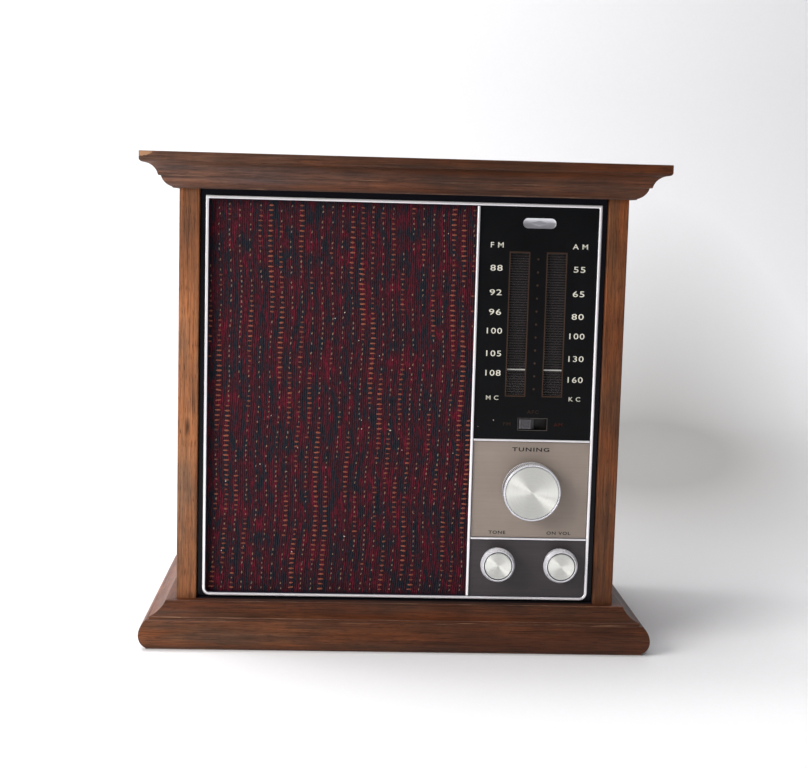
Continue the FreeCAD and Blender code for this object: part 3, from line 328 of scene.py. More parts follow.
def plated(name, tone, roughness, metallic=1.0):
    """Bright plating, faintly hazed and pitted."""
    finish = Finish(name, tone, roughness, metallic)
    haze = finish.noise(0.012, 3.0)
    finish.gloss(haze, roughness * 0.7, roughness * 1.5)
    finish.paint(finish.ramp(haze, (0.3, dimmed(tone, 0.93)), (0.65, tone)))
    finish.bump(finish.noise(0.006, 2.0), 0.008, 0.25)
    return finish


def spun(name, tone, centre):
    """Aluminium turned about Y, with its fine circular grooves."""
    finish = Finish(name, tone, 0.32, 1.0, {"Anisotropic": 0.95,
                                                    "Anisotropic Rotation": 0.25})
    tangent = finish.node("Tangent", direction_type="RADIAL", axis="Y").outputs[0]
    finish.tree.links.new(tangent, finish.shader.inputs["Tangent"])
    where = finish.place((MM, MM, MM), centre)
    flat = finish.node("VectorMath", {0: where, 1: (1, 0, 1)}, operation="MULTIPLY").outputs[0]
    radius = finish.node("VectorMath", {0: flat}, operation="LENGTH").outputs["Value"]
    grooves = finish.node("TexNoise", {"W": radius, "Scale": 3.4, "Detail": 3.0},
                          noise_dimensions="1D").outputs[0]
    finish.gloss(grooves, 0.28, 0.38)
    finish.paint(finish.ramp(grooves, (0.3, dimmed(tone, 0.86)), (0.6, tone)))
    finish.bump(grooves, 0.006, 0.35)
    return finish


def satin(name, tone, run, roughness=0.42, metallic=0.0, specular=0.5, contrast=0.13):
    """Painted or anodised sheet with a fine brushed grain along axis run."""
    size = [0.5 * MM] * 3
    size[run] = 26 * MM
    finish = Finish(name, tone, roughness, metallic, {"Specular IOR Level": specular})
    brushed = finish.noise(tuple(size), 3.0, 0.6)
    cloudy = finish.noise(0.03, 3.0)
    ground = finish.ramp(brushed, (0.3, dimmed(tone, 1 - contrast)),
                         (0.7, dimmed(tone, 1 + contrast)))
    cloud = finish.ramp(cloudy, (0.3, 0.93), (0.7, 1.05))
    finish.paint(finish.mix(1.0, ground, cloud, "MULTIPLY"))
    finish.gloss(brushed, roughness * 0.8, roughness * 1.25)
    finish.bump(brushed, 0.01, 0.4)
    return finish


def moulded(name, tone, roughness=0.4, specular=0.5, grit=0.9):
    """Moulded plastic or enamel with a fine orange peel and a little dust."""
    finish = Finish(name, tone, roughness, values={"Specular IOR Level": specular})
    peel = finish.noise(grit * MM, 3.0)
    cloud = finish.noise(0.02, 4.0, 0.6)
    finish.paint(finish.ramp(cloud, (0.3, dimmed(tone, 0.82)), (0.7, dimmed(tone, 1.16))))
    finish.gloss(cloud, roughness * 0.8, roughness * 1.25)
    finish.bump(peel, 0.012, 0.4)
    return finish


def fibrous(name, tone, fleck, size):
    """Pressed fibre: board, paper or felt."""
    finish = Finish(name, tone, 0.75, values={"Specular IOR Level": 0.25})
    strands = finish.noise((size * 5 * MM, size * 2 * MM, size * MM), 4.0, 0.7, 0.8)
    cloud = finish.noise(0.035, 4.0, 0.6)
    ground = finish.ramp(strands, (0.32, fleck), (0.48, tone), (0.70, dimmed(tone, 1.25)))
    stain = finish.ramp(cloud, (0.3, 0.84), (0.7, 1.1))
    finish.paint(finish.mix(1.0, ground, stain, "MULTIPLY"))
    finish.gloss(strands, 0.62, 0.85)
    finish.bump(strands, 0.06, 0.6)
    return finish


def woven(name):
    """The ground of the grille cloth: mottled threads that follow the woven columns."""
    cloth = bpy.context.scene.radio_cloth
    night, burgundy, crimson = tuple(cloth.night), tuple(cloth.burgundy), tuple(cloth.crimson)
    finish = Finish(name, burgundy, 0.85, values={
        "Specular IOR Level": 0.15, "Sheen Weight": 0.25, "Sheen Roughness": 0.5,
        "Sheen Tint": (*crimson, 1.0)})
    threads = finish.noise((1.5 * MM, 9 * MM, MM), 3.0, 0.62, 0.15, uv="weave")
    broad = finish.noise((6 * MM, 24 * MM, MM), 2.0, 0.5, uv="weave")
    mottle = finish.noise((0.8 * MM, 2.1 * MM, MM), 2.0, 0.6, uv="weave")
    tone = finish.math("ADD", finish.math("MULTIPLY", threads, 0.66),
                       finish.math("MULTIPLY", broad, 0.34))
    ground = finish.ramp(tone, (0.38, night), (0.455, dimmed(night, 1.25)), (0.485, burgundy),
                         (0.54, burgundy), (0.60, crimson))
    speck = finish.ramp(mottle, (0.32, 0.45), (0.5, 1.0), (0.7, 1.5))
    ground = finish.mix(0.85, ground, speck, "MULTIPLY")
    # Painted shade: the hollows between cords and picks are darkened and the crests lightened a
    # little; the same pattern also drives the bump.
    cords = finish.node("TexWave", {"Vector": finish.place((2.15 * MM, 1, 1), uv="weave"),
                                    "Scale": 1.0 / math.tau * math.pi, "Distortion": 0.0},
                        bands_direction="X").outputs[1]
    picks = finish.node("TexWave", {"Vector": finish.place((1, 1.06 * MM, 1), uv="weave"),
                                    "Scale": 1.0 / math.tau * math.pi, "Distortion": 0.0},
                        bands_direction="Y").outputs[1]
    weave = finish.math("MULTIPLY", finish.math("ADD", cords, 0.35),
                        finish.math("ADD", picks, 0.6))
    weave_painted_shade = finish.ramp(weave, (0.15, 0.42), (0.9, 1.2))
    finish.paint(finish.mix(0.8, ground, weave_painted_shade, "MULTIPLY"))
    finish.bump(finish.math("ADD", weave, finish.math("MULTIPLY", mottle, 0.6)), 0.3, 0.8)
    return finish


def yarn(name):
    """Loose yarn of the floats and flecks, coloured by each one's own tone."""
    cloth = bpy.context.scene.radio_cloth
    floats, flecks = tuple(cloth.floats), tuple(cloth.flecks)
    finish = Finish(name, floats, 0.8, values={"Specular IOR Level": 0.2,
                                               "Sheen Weight": 0.2})
    tone = finish.node("Attribute", attribute_name="tone").outputs["Fac"]
    hue = finish.ramp(tone, (0.0, dimmed(tuple(cloth.crimson), 0.8)), (0.3, dimmed(floats, 0.5)),
                      (0.6, floats), (0.7, dimmed(flecks, 0.7)), (1.0, flecks))
    fibre = finish.noise((0.7 * MM, MM, 0.22 * MM), 3.0, 0.6)
    finish.paint(finish.mix(1.0, hue, finish.ramp(fibre, (0.3, 0.6), (0.7, 1.3)), "MULTIPLY"))
    finish.bump(fibre, 0.08, 0.6)
    return finish


# ---------------------------------------------------------------- meshes

def finished(bm, name, finish, body, replaced=(), smooth=35, extra=None):
    """Turns a bmesh into a piece in its place, riding on its body."""
    mesh = bpy.data.meshes.new(name)
    bm.to_mesh(mesh)
    bm.free()
    mesh.materials.append(finish.material)
    if extra:
        mesh.materials.append(extra.material)
    mesh.polygons.foreach_set("use_smooth", [smooth > 0] * len(mesh.polygons))
    if smooth > 0:
        mesh.set_sharp_from_angle(angle=math.radians(smooth))
    piece = bpy.data.objects.new(name, mesh)
    bpy.context.scene.collection.objects.link(piece)
    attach(piece, body)
    if replaced:
        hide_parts(*replaced)
    return piece


def closed(bm):
    """Merges doubles and turns every face outwards."""
    bmesh.ops.remove_doubles(bm, verts=bm.verts, dist=0.002 * MM)
    bmesh.ops.recalc_face_normals(bm, faces=bm.faces)


def block(bm, low, high, edge=0.0, steps=2):
    """A box between two corners, with its edges rounded."""
    size = Vector(high) - Vector(low)
    middle = (Vector(high) + Vector(low)) / 2
    place = Matrix.Translation(middle) @ Matrix.Diagonal((*size, 1.0))
    verts = bmesh.ops.create_cube(bm, size=1.0, matrix=place)["verts"]
    if edge:
        edges = {e for v in verts for e in v.link_edges}
        bmesh.ops.bevel(bm, geom=list(edges), offset=edge, offset_type="OFFSET", segments=steps,
                        profile=0.5, affect="EDGES", material=-1, clamp_overlap=True)


def turned(bm, outline, centre, steps, axis=Y):
    """Spins a half section of (radius, distance) pairs about an axis through centre."""
    along = Vector([float(axis == k) for k in (X, Y, Z)])
    across = Vector((0, 0, 1)) if axis != Z else Vector((1, 0, 0))
    verts = [bm.verts.new(Vector(centre) + across * r + along * d) for r, d in outline]
    edges = [bm.edges.new(pair) for pair in zip(verts, verts[1:])]
    made = bmesh.ops.spin(bm, geom=verts + edges, cent=centre, axis=along, dvec=(0, 0, 0),
                          angle=math.tau, steps=steps, use_merge=True, use_duplicate=False)
    return made


def ring_outline(bm, low, high, width, front, back):
    """A flat rectangular line between two (x, z) corners."""
    corners = ((low[0], low[1]), (high[0], low[1]), (high[0], high[1]), (low[0], high[1]))
    face = bm.faces.new([bm.verts.new((x, front, z)) for x, z in corners])
    face.normal_update()
    ring = bmesh.ops.inset_region(bm, faces=[face], thickness=width, use_boundary=True,
                                  use_even_offset=True)
    bmesh.ops.delete(bm, geom=[face], context="FACES_ONLY")
    walls = bmesh.ops.extrude_face_region(bm, geom=ring["faces"])["geom"]
    bmesh.ops.translate(bm, verts=[v for v in walls if isinstance(v, bmesh.types.BMVert)],
                        vec=(0, back - front, 0))


def helix(bm, start, along, radius, wire, turns, pitch, steps=10):
    """Round wire wound about the line that leaves start in the direction along."""
    along = Vector(along).normalized()
    side = along.orthogonal().normalized()
    turn = Matrix((side, along.cross(side), along)).transposed().to_4x4()
    place = Matrix.Translation(Vector(start) + side * radius) @ turn @ Matrix.Rotation(
        math.pi / 2, 4, "X")
    ring = bmesh.ops.create_circle(bm, segments=6, radius=wire, cap_ends=False, matrix=place)
    edges = list({e for v in ring["verts"] for e in v.link_edges})
    total = int(turns * steps)
    bmesh.ops.spin(bm, geom=ring["verts"] + edges, cent=start, axis=along,
                   dvec=along * (pitch * turns / total), angle=math.tau * turns, steps=total,
                   use_merge=False, use_duplicate=False)
    bmesh.ops.holes_fill(bm, edges=bm.edges, sides=6)


def node_body(node):
    return frame["nodes"][node]["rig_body"]


def refined(node, finish, edge=0.3, steps=2, extra=None, angle=30):
    """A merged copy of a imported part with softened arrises, standing for that part."""
    bm = bmesh.new()
    bm.from_mesh(frame["nodes"][node].data)
    bmesh.ops.remove_doubles(bm, verts=bm.verts, dist=0.001 * MM)
    bmesh.ops.dissolve_limit(bm, angle_limit=math.radians(0.6), verts=bm.verts, edges=bm.edges)
    piece = finished(bm, node + "_finished", finish, node_body(node),
                     [node], 35, extra)
    soft = piece.modifiers.new("soft arrises", "BEVEL")
    soft.width = edge * MM
    soft.segments = steps
    soft.limit_method = "ANGLE"
    soft.angle_limit = math.radians(angle)
    soft.use_clamp_overlap = True
    soft.harden_normals = True
    if extra:
        soft.material = 1
    return piece


def dress(finish, *nodes):
    """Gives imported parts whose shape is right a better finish."""
    for node in nodes:
        for place in frame["nodes"][node].material_slots:
            place.material = finish.material


def lettered(bm, words, x, z, height, front, thickness, stretch=1.18, weight=0.006, gap=1.18):
    """Adds plain sans lettering, centred on (x, z) and standing on the plane y = front."""
    curve = bpy.data.curves.new("words", "FONT")
    curve.body = words
    curve.offset = weight
    curve.extrude = 0.05
    curve.resolution_u = 4
    curve.space_character = gap
    holder = bpy.data.objects.new("words", curve)
    bpy.context.scene.collection.objects.link(holder)
    bpy.context.view_layer.update()
    mesh = bpy.data.meshes.new_from_object(
        holder.evaluated_get(bpy.context.evaluated_depsgraph_get()))
    bpy.data.objects.remove(holder)
    corners = [v.co for v in mesh.vertices]
    low = Vector(min(c[k] for c in corners) for k in (X, Y, Z))
    high = Vector(max(c[k] for c in corners) for k in (X, Y, Z))
    middle = (low + high) / 2
    scale = height / (high.y - low.y)
    depth = thickness / (high.z - low.z)
    mesh.transform(Matrix.Translation(-middle))
    mesh.transform(Matrix.Diagonal((scale * stretch, scale, depth, 1.0)))
    mesh.transform(Matrix.Rotation(math.pi / 2, 4, "X"))
    mesh.transform(Matrix.Translation((x, front - thickness / 2, z)))
    bm.from_mesh(mesh)
    bpy.data.meshes.remove(mesh)


# ---------------------------------------------------------------- cabinet

def printed(bm, name, ink):
    """Finishes a mesh of lettering in one ink."""
    bmesh.ops.remove_doubles(bm, verts=bm.verts, dist=0.001 * MM)
    finished(bm, name, ink, "cabinet", (), 0)


def box_middle(node):
    """The middle of a node's box."""
    low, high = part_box(node)
    return (low + high) / 2


class RADIO_OT_cabinet(bpy.types.Operator):
    """Walnut side boards, top board, crown and base with worn arrises"""
    bl_idname = "table_radio.cabinet"
    bl_label = "Cabinet"

    def execute(self, context):
        wood = context.scene.radio_wood
        edge = wood.edge / MM
        low, high = CAD_BOX
        chip = ((low.x, low.y, high.z), (12 * MM, 12 * MM, 5 * MM))
        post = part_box("left_side_board")
        knot = (((post[0].x + post[1].x) / 2, FRONT, 0.14), (2.6 * MM, 9 * MM, 8 * MM))
        crown, base = tuple(wood.crown), tuple(wood.base)
        # Painted light and shade on the crown and base: a painted sheen on the crown's left end,
        # painted light along its lower front, painted shade on the base's ledge, painted light on
        # the base's left front and strong painted light on the base's left side.
        crown_painted_sheen = ((low.x, low.y, high.z - 8 * MM), (190 * MM, 90 * MM, 60 * MM),
                 (1.6, 2.3, 3.4))
        crown_painted_light = ((0.0, low.y + 10 * MM, high.z - 18 * MM), (600 * MM, 60 * MM, 14 * MM),
                  (1.5, 1.75, 2.2))
        ledge_painted_shade = ((0.0, low.y + 20 * MM, 34 * MM), (160 * MM, 16 * MM, 9 * MM),
                 (0.45, 0.6, 0.9))
        lit = ((low.x + 20 * MM, low.y, 8 * MM), (190 * MM, 50 * MM, 19 * MM), (2.1, 2.4, 2.3))
        base_side_painted_light = ((low.x, 0.0, 26 * MM), (30 * MM, 200 * MM, 40 * MM), (4.2, 5.6, 8.0))
        for part, tone in (("crown", crown), ("base", base)):
            mark, painted_light_and_shade = (chip, [crown_painted_sheen, crown_painted_light]) if part == "crown" else (None, [ledge_painted_shade, lit])
            front = walnut(f"walnut_{part}_front", X, tone, chip=mark, painted_light_and_shade=painted_light_and_shade)
            sides = walnut(f"walnut_{part}_sides", Y, tone, chip=mark,
                           painted_light_and_shade=[base_side_painted_light] if part == "base" else ())
            refined(f"{part}_front", front, edge, 3, worn_edge(f"worn_{part}_front", X, tone))
            rubbed = worn_edge(f"worn_{part}_sides", Y, tone)
            refined(f"{part}_left", sides, edge, 3, rubbed)
            refined(f"{part}_right", sides, edge, 3, rubbed)
        # Painted shade darkens the top and bottom of the left board; painted light lightens the
        # top of the right board.
        ends = [((0.0, FRONT, high.z - 20 * MM), (300 * MM, 90 * MM, 95 * MM),
                 (0.45, 0.42, 0.42)),
                ((0.0, FRONT, 20 * MM), (300 * MM, 90 * MM, 80 * MM), (0.5, 0.5, 0.5))]
        sunlit = [((0.0, FRONT, high.z - 20 * MM), (300 * MM, 60 * MM, 150 * MM),
                   (1.6, 1.5, 1.3))]
        # The two boards' tones hold painted light on the left board and painted shade on the right
        # board.
        for side, tone in (("left", tuple(wood.left)), ("right", tuple(wood.right))):
            board = walnut(f"walnut_{side}_board", Z, tone, knot=knot,
                           painted_light_and_shade=ends if side == "left" else sunlit)
            refined(f"{side}_side_board", board, 0.3, 2, worn_edge(f"worn_{side}_board", Z, tone))
        refined("top_board", walnut("walnut_top", X, crown), 0.3, 2)
        chips = fibrous("chipboard", shade(150, 118, 84), shade(96, 70, 46), 1.1)
        plain = chips.shader.inputs["Base Color"].links[0].from_socket
        # The bottom board is painted near-black along its front edge.
        darker_near_front = chips.ramp(chips.near((0.0, FRONT, 30 * MM), (400 * MM, 16 * MM, 30 * MM)),
                             (0.0, 0.0), (0.25, 1.0))
        chips.paint(chips.mix(darker_near_front, plain, shade(22, 18, 24)))
        dress(chips, "bottom_board")
        dress(fibrous("softwood", shade(186, 152, 104), shade(150, 112, 70), 0.8),
              "corner_cleats")
        return {"FINISHED"}


class RADIO_OT_front(bpy.types.Operator):
    """Black frame, bright trim and the two plain panels of the front"""
    bl_idname = "table_radio.front"
    bl_label = "Front frame and trim"

    def execute(self, context):
        front = context.scene.radio_front
        metal = context.scene.radio_metal
        refined("front_frame", moulded("black_moulding", tuple(front.moulding), 0.35, 0.2), 0.3)
        bright = Finish("bright_trim", tuple(metal.trim), 0.3, 0.6)
        bright.gloss(bright.noise(0.02, 3.0), 0.24, 0.38)
        # Painted shade and light: faces turned away from a fixed front-left direction get the dark
        # flank tone, and faces turned to it get the bright trim tone.
        facing = bright.node("NewGeometry").outputs["Normal"]
        painted_light_by_facing = bright.node("VectorMath", {0: facing, 1: (-0.35, -1.0, 0.1)},
                            operation="DOT_PRODUCT").outputs["Value"]
        bright.paint(bright.ramp(painted_light_by_facing, (0.52, tuple(metal.flank)), (0.82, tuple(metal.trim))))
        refined("trim_ring", bright, 0.5, 2, angle=40)
        refined("column_divider", bright, 0.5, 2, angle=40)
        refined("cross_dividers", bright, 0.3, 2, angle=40)
        refined("tuning_panel", satin("champagne_sheet", tuple(front.champagne), X, 0.5, 0.25,
                                      contrast=0.05), 0.15, 1)
        refined("lower_panel", satin("charcoal_sheet", tuple(front.charcoal), X, 0.42, 0.1,
                                     0.4), 0.15, 1)
        return {"FINISHED"}


class RADIO_OT_cloth(bpy.types.Operator):
    """Woven grille cloth with its columns of floats and flecks"""
    bl_idname = "table_radio.cloth"
    bl_label = "Grille cloth"

    def wander(self, x, z):
        """How far the woven columns have strayed sideways at a point."""
        drop = max(0.0, 0.155 - z) / 0.12
        slant = -4.2 * MM * drop ** 1.6
        ripple = 0.7 * math.sin(z * 41 + x * 9) + 0.4 * math.sin(z * 97 + x * 31 + 1.7)
        return slant + ripple * MM

    def patch(self, column, z):
        """A smooth value from about -1 to 1 that says what a column carries at a height."""
        value = math.sin(column * 0.73 + 0.8 + z * 13) + math.sin(column * 2.1 + z * 31 + 2.2)
        value += 0.8 * math.sin(column * 4.7 - z * 53 + 0.4)
        value += 0.8 * math.sin(column * 9.1 + z * 87)
        return value / 3.2

    def execute(self, context):
        cloth = context.scene.radio_cloth
        low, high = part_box("grille_cloth")
        width, height = high.x - low.x, high.z - low.z
        front = low.y + cloth.relief
        bm = bmesh.new()
        place = Matrix.Translation(((low.x + high.x) / 2, front, (low.z + high.z) / 2))
        place = place @ Matrix.Rotation(math.pi / 2, 4, "X")
        place = place @ Matrix.Diagonal((width, height, 1.0, 1.0))
        bmesh.ops.create_grid(bm, x_segments=196, y_segments=216, size=0.5, matrix=place)
        weave = bm.loops.layers.uv.new("weave")
        for vert in bm.verts:
            across = vert.co.x - self.wander(vert.co.x, vert.co.z)
            column = across / cloth.column
            ridge = math.cos(math.tau * column) ** 3
            pick = math.cos(math.tau * vert.co.z / cloth.row)
            slack = 0.12 * math.sin(vert.co.x * 37 + 1) * math.sin(vert.co.z * 29)
            vert.co.y -= cloth.relief * (0.45 * ridge + 0.12 * pick * ridge + slack)
            for corner in vert.link_loops:
                corner[weave].uv = (across + 0.5, vert.co.z)
        sheet = finished(bm, "grille_cloth_woven", woven("grille_cloth_ground"), "cabinet",
                         ["grille_cloth"], 180)
        solid = sheet.modifiers.new("thickness", "SOLIDIFY")
        solid.thickness = 0.35 * MM
        solid.offset = -1.0
        floats = self.floats(cloth, front)
        return {"FINISHED"}

    def floats(self, cloth, front):
        """The wide floats and narrow flecks of loose yarn, one small bead each."""
        draw = random.Random(7)
        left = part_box("trim_ring")[0].x + 2.6 * MM
        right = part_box("column_divider")[0].x - 0.6 * MM
        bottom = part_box("column_divider")[0].z + 0.8 * MM
        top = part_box("column_divider")[1].z - 0.8 * MM
        bm = bmesh.new()
        bm.verts.layers.float.new("tone")
        first = math.ceil(left / cloth.column) - 2
        last = math.floor(right / cloth.column) + 2
        for column in range(first, last + 1):
            strand = self.strand(cloth, draw, column, front, (left, right), (bottom, top))
            bm.from_mesh(strand)
            bpy.data.meshes.remove(strand)
        return finished(bm, "grille_cloth_floats", yarn("grille_cloth_yarn"), "cabinet",
                        (), 180)

    def strand(self, cloth, draw, column, front, sides, ends):
        """The floats and flecks of one woven column, as a mesh."""
        bm = bmesh.new()
        tone = bm.verts.layers.float.new("tone")
        phase = draw.uniform(-0.5, 0.5)
        gain = draw.uniform(-0.22, 0.22)
        skipped = False
        for row in range(int((ends[1] - ends[0]) / cloth.row)):
            z = ends[0] + (row + 0.5 + 0.3 * phase) * cloth.row + draw.gauss(0, 0.10 * MM)
            x = column * cloth.column
            x += self.wander(x, z) + draw.gauss(0, 0.16 * MM)
            value = self.patch(column, z) + gain + draw.gauss(0, 0.10)
            if not sides[0] < x < sides[1]:
                continue
            if value > 0.12:
                wide = 1.9 + 1.7 * min(1.0, (value - 0.05) * 1.5) + draw.gauss(0, 0.25)
                size = (wide, 0.46, 1.15 + draw.gauss(0, 0.12))
                hue = min(0.6, 0.26 + 0.5 * value + draw.gauss(0, 0.07))
                lean = draw.gauss(0.0, 0.07)
            elif value > -0.72 and not skipped:
                size = (0.62 + draw.random() * 0.3, 0.36, 1.2 + draw.random() * 0.8)
                hue = 0.68 + draw.random() * 0.32
                lean = draw.gauss(0.18, 0.15)
            else:
                skipped = False
                continue
            skipped = value <= 0.12 and draw.random() < 0.45
            half = Vector(size) * 0.5 * MM
            place = Matrix.Translation((x, front - 0.10 * MM, z))
            place = place @ Matrix.Rotation(lean, 4, "Y") @ Matrix.Diagonal((*half, 1.0))
            place = place @ Matrix.Rotation(math.pi / 2, 4, "Y")
            made = bmesh.ops.create_uvsphere(bm, u_segments=7, v_segments=4, radius=1.0,
                                             matrix=place)
            for vert in made["verts"]:
                vert[tone] = hue
        mesh = bpy.data.meshes.new("strand")
        bm.to_mesh(mesh)
        bm.free()
        return mesh


class RADIO_OT_dust(bpy.types.Operator):
    """Specks of dust and lint on the cloth and the dial"""
    bl_idname = "table_radio.dust"
    bl_label = "Dust specks"

    def execute(self, context):
        draw = random.Random(23)
        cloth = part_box("grille_cloth")
        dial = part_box("dial_panel")
        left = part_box("trim_ring")[0].x + 8 * MM
        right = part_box("column_divider")[0].x - 6 * MM
        bm = bmesh.new()
        places = [(draw.uniform(left, right), cloth[0].y - 0.1 * MM,
                   draw.uniform(cloth[0].z + 8 * MM, cloth[1].z - 8 * MM)) for _ in range(26)]
        places += [(dial[0].x + x * MM, dial[0].y - 0.05 * MM, dial[0].z + z * MM)
                   for x, z in ((2.5, 7.6), (12.4, 12.0))]
        for x, y, z in places:
            wide = draw.uniform(0.16, 0.42) * MM
            place = Matrix.Translation((x, y, z)) @ Matrix.Rotation(draw.uniform(0, 3), 4, "Y")
            place = place @ Matrix.Diagonal((wide, 0.10 * MM, wide * draw.uniform(0.5, 1.6), 1))
            bmesh.ops.create_icosphere(bm, subdivisions=1, radius=1.0, matrix=place)
        finished(bm, "dust_specks", fibrous("lint", shade(205, 196, 184), shade(150, 140, 128),
                                            0.3), "cabinet", (), 0)
        return {"FINISHED"}


# ---------------------------------------------------------------- dial

class RADIO_OT_dial(bpy.types.Operator):
    """Black dial plate, its windows, scales, pointer and emblem"""
    bl_idname = "table_radio.dial"
    bl_label = "Dial"

    def execute(self, context):
        front = context.scene.radio_front
        plate = moulded("dial_black", tuple(front.dial), 0.4, 0.12, 0.6)
        refined("dial_panel", plate, 0.15, 1)
        ribs = Finish("ribbed_plate_painted_shade", tuple(front.window), 0.6, values={"Specular IOR Level": 0.3})
        # Painted shade in the valleys of the ribs and painted highlight on their crests, in
        # stripes that follow the ribs.
        rows = ribs.node("TexWave", {"Vector": ribs.place((1, 1, 1.64 * MM)),
                                     "Scale": math.tau / 20},
                         bands_direction="Z").outputs[1]
        rows = ribs.math("ADD", rows, ribs.math("MULTIPLY", ribs.noise(0.006, 2.0), 0.15))
        ribs.paint(ribs.ramp(rows, (0.35, dimmed(tuple(front.window), 0.12)),
                             (0.85, dimmed(tuple(front.window), 1.9))))
        dress(ribs, "dial_reflector")
        lens = Finish("clear_window", (0.02, 0.02, 0.02), 0.05,
                      values={"Alpha": 0.12, "Specular IOR Level": 0.3})
        lens.gloss(lens.noise(0.006, 2.0), 0.03, 0.07)
        dress(lens, "window_lenses")
        dress(moulded("pointer_white", shade(232, 230, 222), 0.5), "pointer_carriage")
        self.figures(front)
        self.outlines(front)
        self.emblem()
        return {"FINISHED"}

    def figures(self, front):
        low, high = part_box("dial_panel")
        face = low.y
        middle = (low.x + high.x) / 2
        thick = front.mark_thickness
        tall, small = front.figure_height, front.letter_height
        column, band_rise, unit_rise = 26.5 * MM, 124 * MM, 26.5 * MM
        rises = {-1: {88: 109.5, 92: 94, 96: 81.5, 100: 69.5, 105: 55, 108: 42.5},
                 1: {55: 109.5, 65: 94, 80: 79.5, 100: 67, 130: 52.5, 160: 39}}
        bm = bmesh.new()
        for side, band, unit in ((-1, "FM", "MC"), (1, "AM", "KC")):
            x = middle + side * column
            for number, rise in rises[side].items():
                stretch = 1.32 if number > 99 else 1.46
                lettered(bm, str(number), x, low.z + rise * MM, tall, face, thick, stretch,
                         0.004, 1.14)
            for words, rise, part in ((band, band_rise, 1.0), (unit, unit_rise, 0.85)):
                lettered(bm, words, x, low.z + rise, small * part, face, thick, 1.15, 0.004,
                         1.75)
        printed(bm, "dial_figures", moulded("figure_ink", tuple(front.figures), 0.6, 0.3))
        bm = bmesh.new()
        slot = box_middle("band_switch_housing")
        beside, above, label = 16.5 * MM, 8 * MM, 2.3 * MM
        lettered(bm, "AFC", slot.x, slot.z + above, label, face, thick)
        lettered(bm, "FM", slot.x - beside, slot.z, label, face, thick)
        printed(bm, "dial_small_labels",
                moulded("dim_ink", dimmed(tuple(front.dim), 0.5), 0.6, 0.1))
        bm = bmesh.new()
        lettered(bm, "AM", slot.x + beside, slot.z, label, face, thick)
        printed(bm, "dial_band_label", moulded("red_ink", shade(62, 28, 22), 0.6, 0.1))

    def outlines(self, front):
        """Brown lines round the windows and the row of dots between them."""
        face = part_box("dial_panel")[0].y
        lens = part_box("window_lenses")
        middle = (lens[0].x + lens[1].x) / 2
        wide = 12.8 * MM
        line, lap = 0.75 * MM, 0.2 * MM
        proud = front.mark_thickness
        bm = bmesh.new()
        for start in (lens[0].x, lens[1].x - wide):
            ring_outline(bm, (start - lap, lens[0].z - lap),
                         (start + wide + lap, lens[1].z + lap), line, face - proud, face + lap)
        dots, first, pitch = 11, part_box("dial_panel")[0].z + 115.5 * MM, 8.3 * MM
        for index in range(dots):
            z = first - index * pitch
            place = Matrix.Translation((middle, face - proud / 2, z))
            place = place @ Matrix.Rotation(math.pi / 2, 4, "X")
            bmesh.ops.create_cone(bm, cap_ends=True, segments=16, radius1=0.7 * MM,
                                  radius2=0.65 * MM, depth=proud, matrix=place)
        closed(bm)
        ink = moulded("outline_ink", dimmed(tuple(front.dim), 0.75), 0.55, 0.1)
        finished(bm, "dial_outlines", ink, "cabinet", (), 0)

    def emblem(self):
        """A plain oval badge with a raised rim and a small lozenge."""
        low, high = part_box("emblem_plate")
        middle = (low + high) / 2
        bm = bmesh.new()
        block(bm, low, high)
        upright = [e for e in bm.edges if abs(e.verts[0].co.y - e.verts[1].co.y) > 0.1 * MM]
        bmesh.ops.bevel(bm, geom=upright, offset=(high.z - low.z) * 0.49, offset_type="OFFSET",
                        segments=9, profile=0.5, affect="EDGES", material=-1)
        face = min(bm.faces, key=lambda f: f.calc_center_median().y)
        bmesh.ops.inset_region(bm, faces=[face], thickness=0.7 * MM, use_even_offset=True)
        bmesh.ops.translate(bm, verts=face.verts, vec=(0, 0.28 * MM, 0))
        place = Matrix.Translation((middle.x, low.y + 0.22 * MM, middle.z))
        place = place @ Matrix.Diagonal((1.0, 1.0, 0.36, 1.0)) @ Matrix.Rotation(
            math.pi / 2, 4, "X")
        bmesh.ops.create_cone(bm, cap_ends=True, segments=4, radius1=5.2 * MM,
                              radius2=4.6 * MM, depth=0.36 * MM, matrix=place)
        closed(bm)
        tone = tuple(bpy.context.scene.radio_metal.bright)
        finished(bm, "emblem_badge", plated("emblem_silver", tone, 0.3), "cabinet",
                 ["emblem_plate"], 30)


class RADIO_OT_band_switch(bpy.types.Operator):
    """Slide switch with a ribbed grip in its edged slot"""
    bl_idname = "table_radio.band_switch"
    bl_label = "Band switch"

    def execute(self, context):
        front = context.scene.radio_front
        grey = moulded("switch_grey", shade(80, 78, 82), 0.45)
        refined("band_switch_slider", grey, 0.25, 2)
        dress(moulded("switch_phenolic", shade(30, 24, 20), 0.5), "band_switch_housing")
        low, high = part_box("band_switch_slider")
        middle = (low + high) / 2
        bm = bmesh.new()
        ribs = 6
        for index in range(ribs):
            x = middle.x + (index - (ribs - 1) / 2) * 1.25 * MM
            block(bm, (x - 0.3 * MM, low.y - 0.55 * MM, middle.z - 2.9 * MM),
                  (x + 0.3 * MM, low.y + 0.2 * MM, middle.z + 2.9 * MM), 0.14 * MM, 2)
        closed(bm)
        finished(bm, "band_switch_ribs", grey, "band_slider", (), 40)
        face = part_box("dial_panel")[0].y
        centre = box_middle("band_switch_housing")
        half = Vector((9.25, 0, 3.75)) * MM
        bm = bmesh.new()
        line = 0.35 * MM
        ring_outline(bm, (centre.x - half.x - line, centre.z - half.z - line),
                     (centre.x + half.x + line, centre.z + half.z + line), line,
                     face - front.mark_thickness, face)
        closed(bm)
        finished(bm, "switch_slot_edge", moulded("slot_edge", shade(66, 60, 56), 0.4),
                 "cabinet", (), 0)
        return {"FINISHED"}


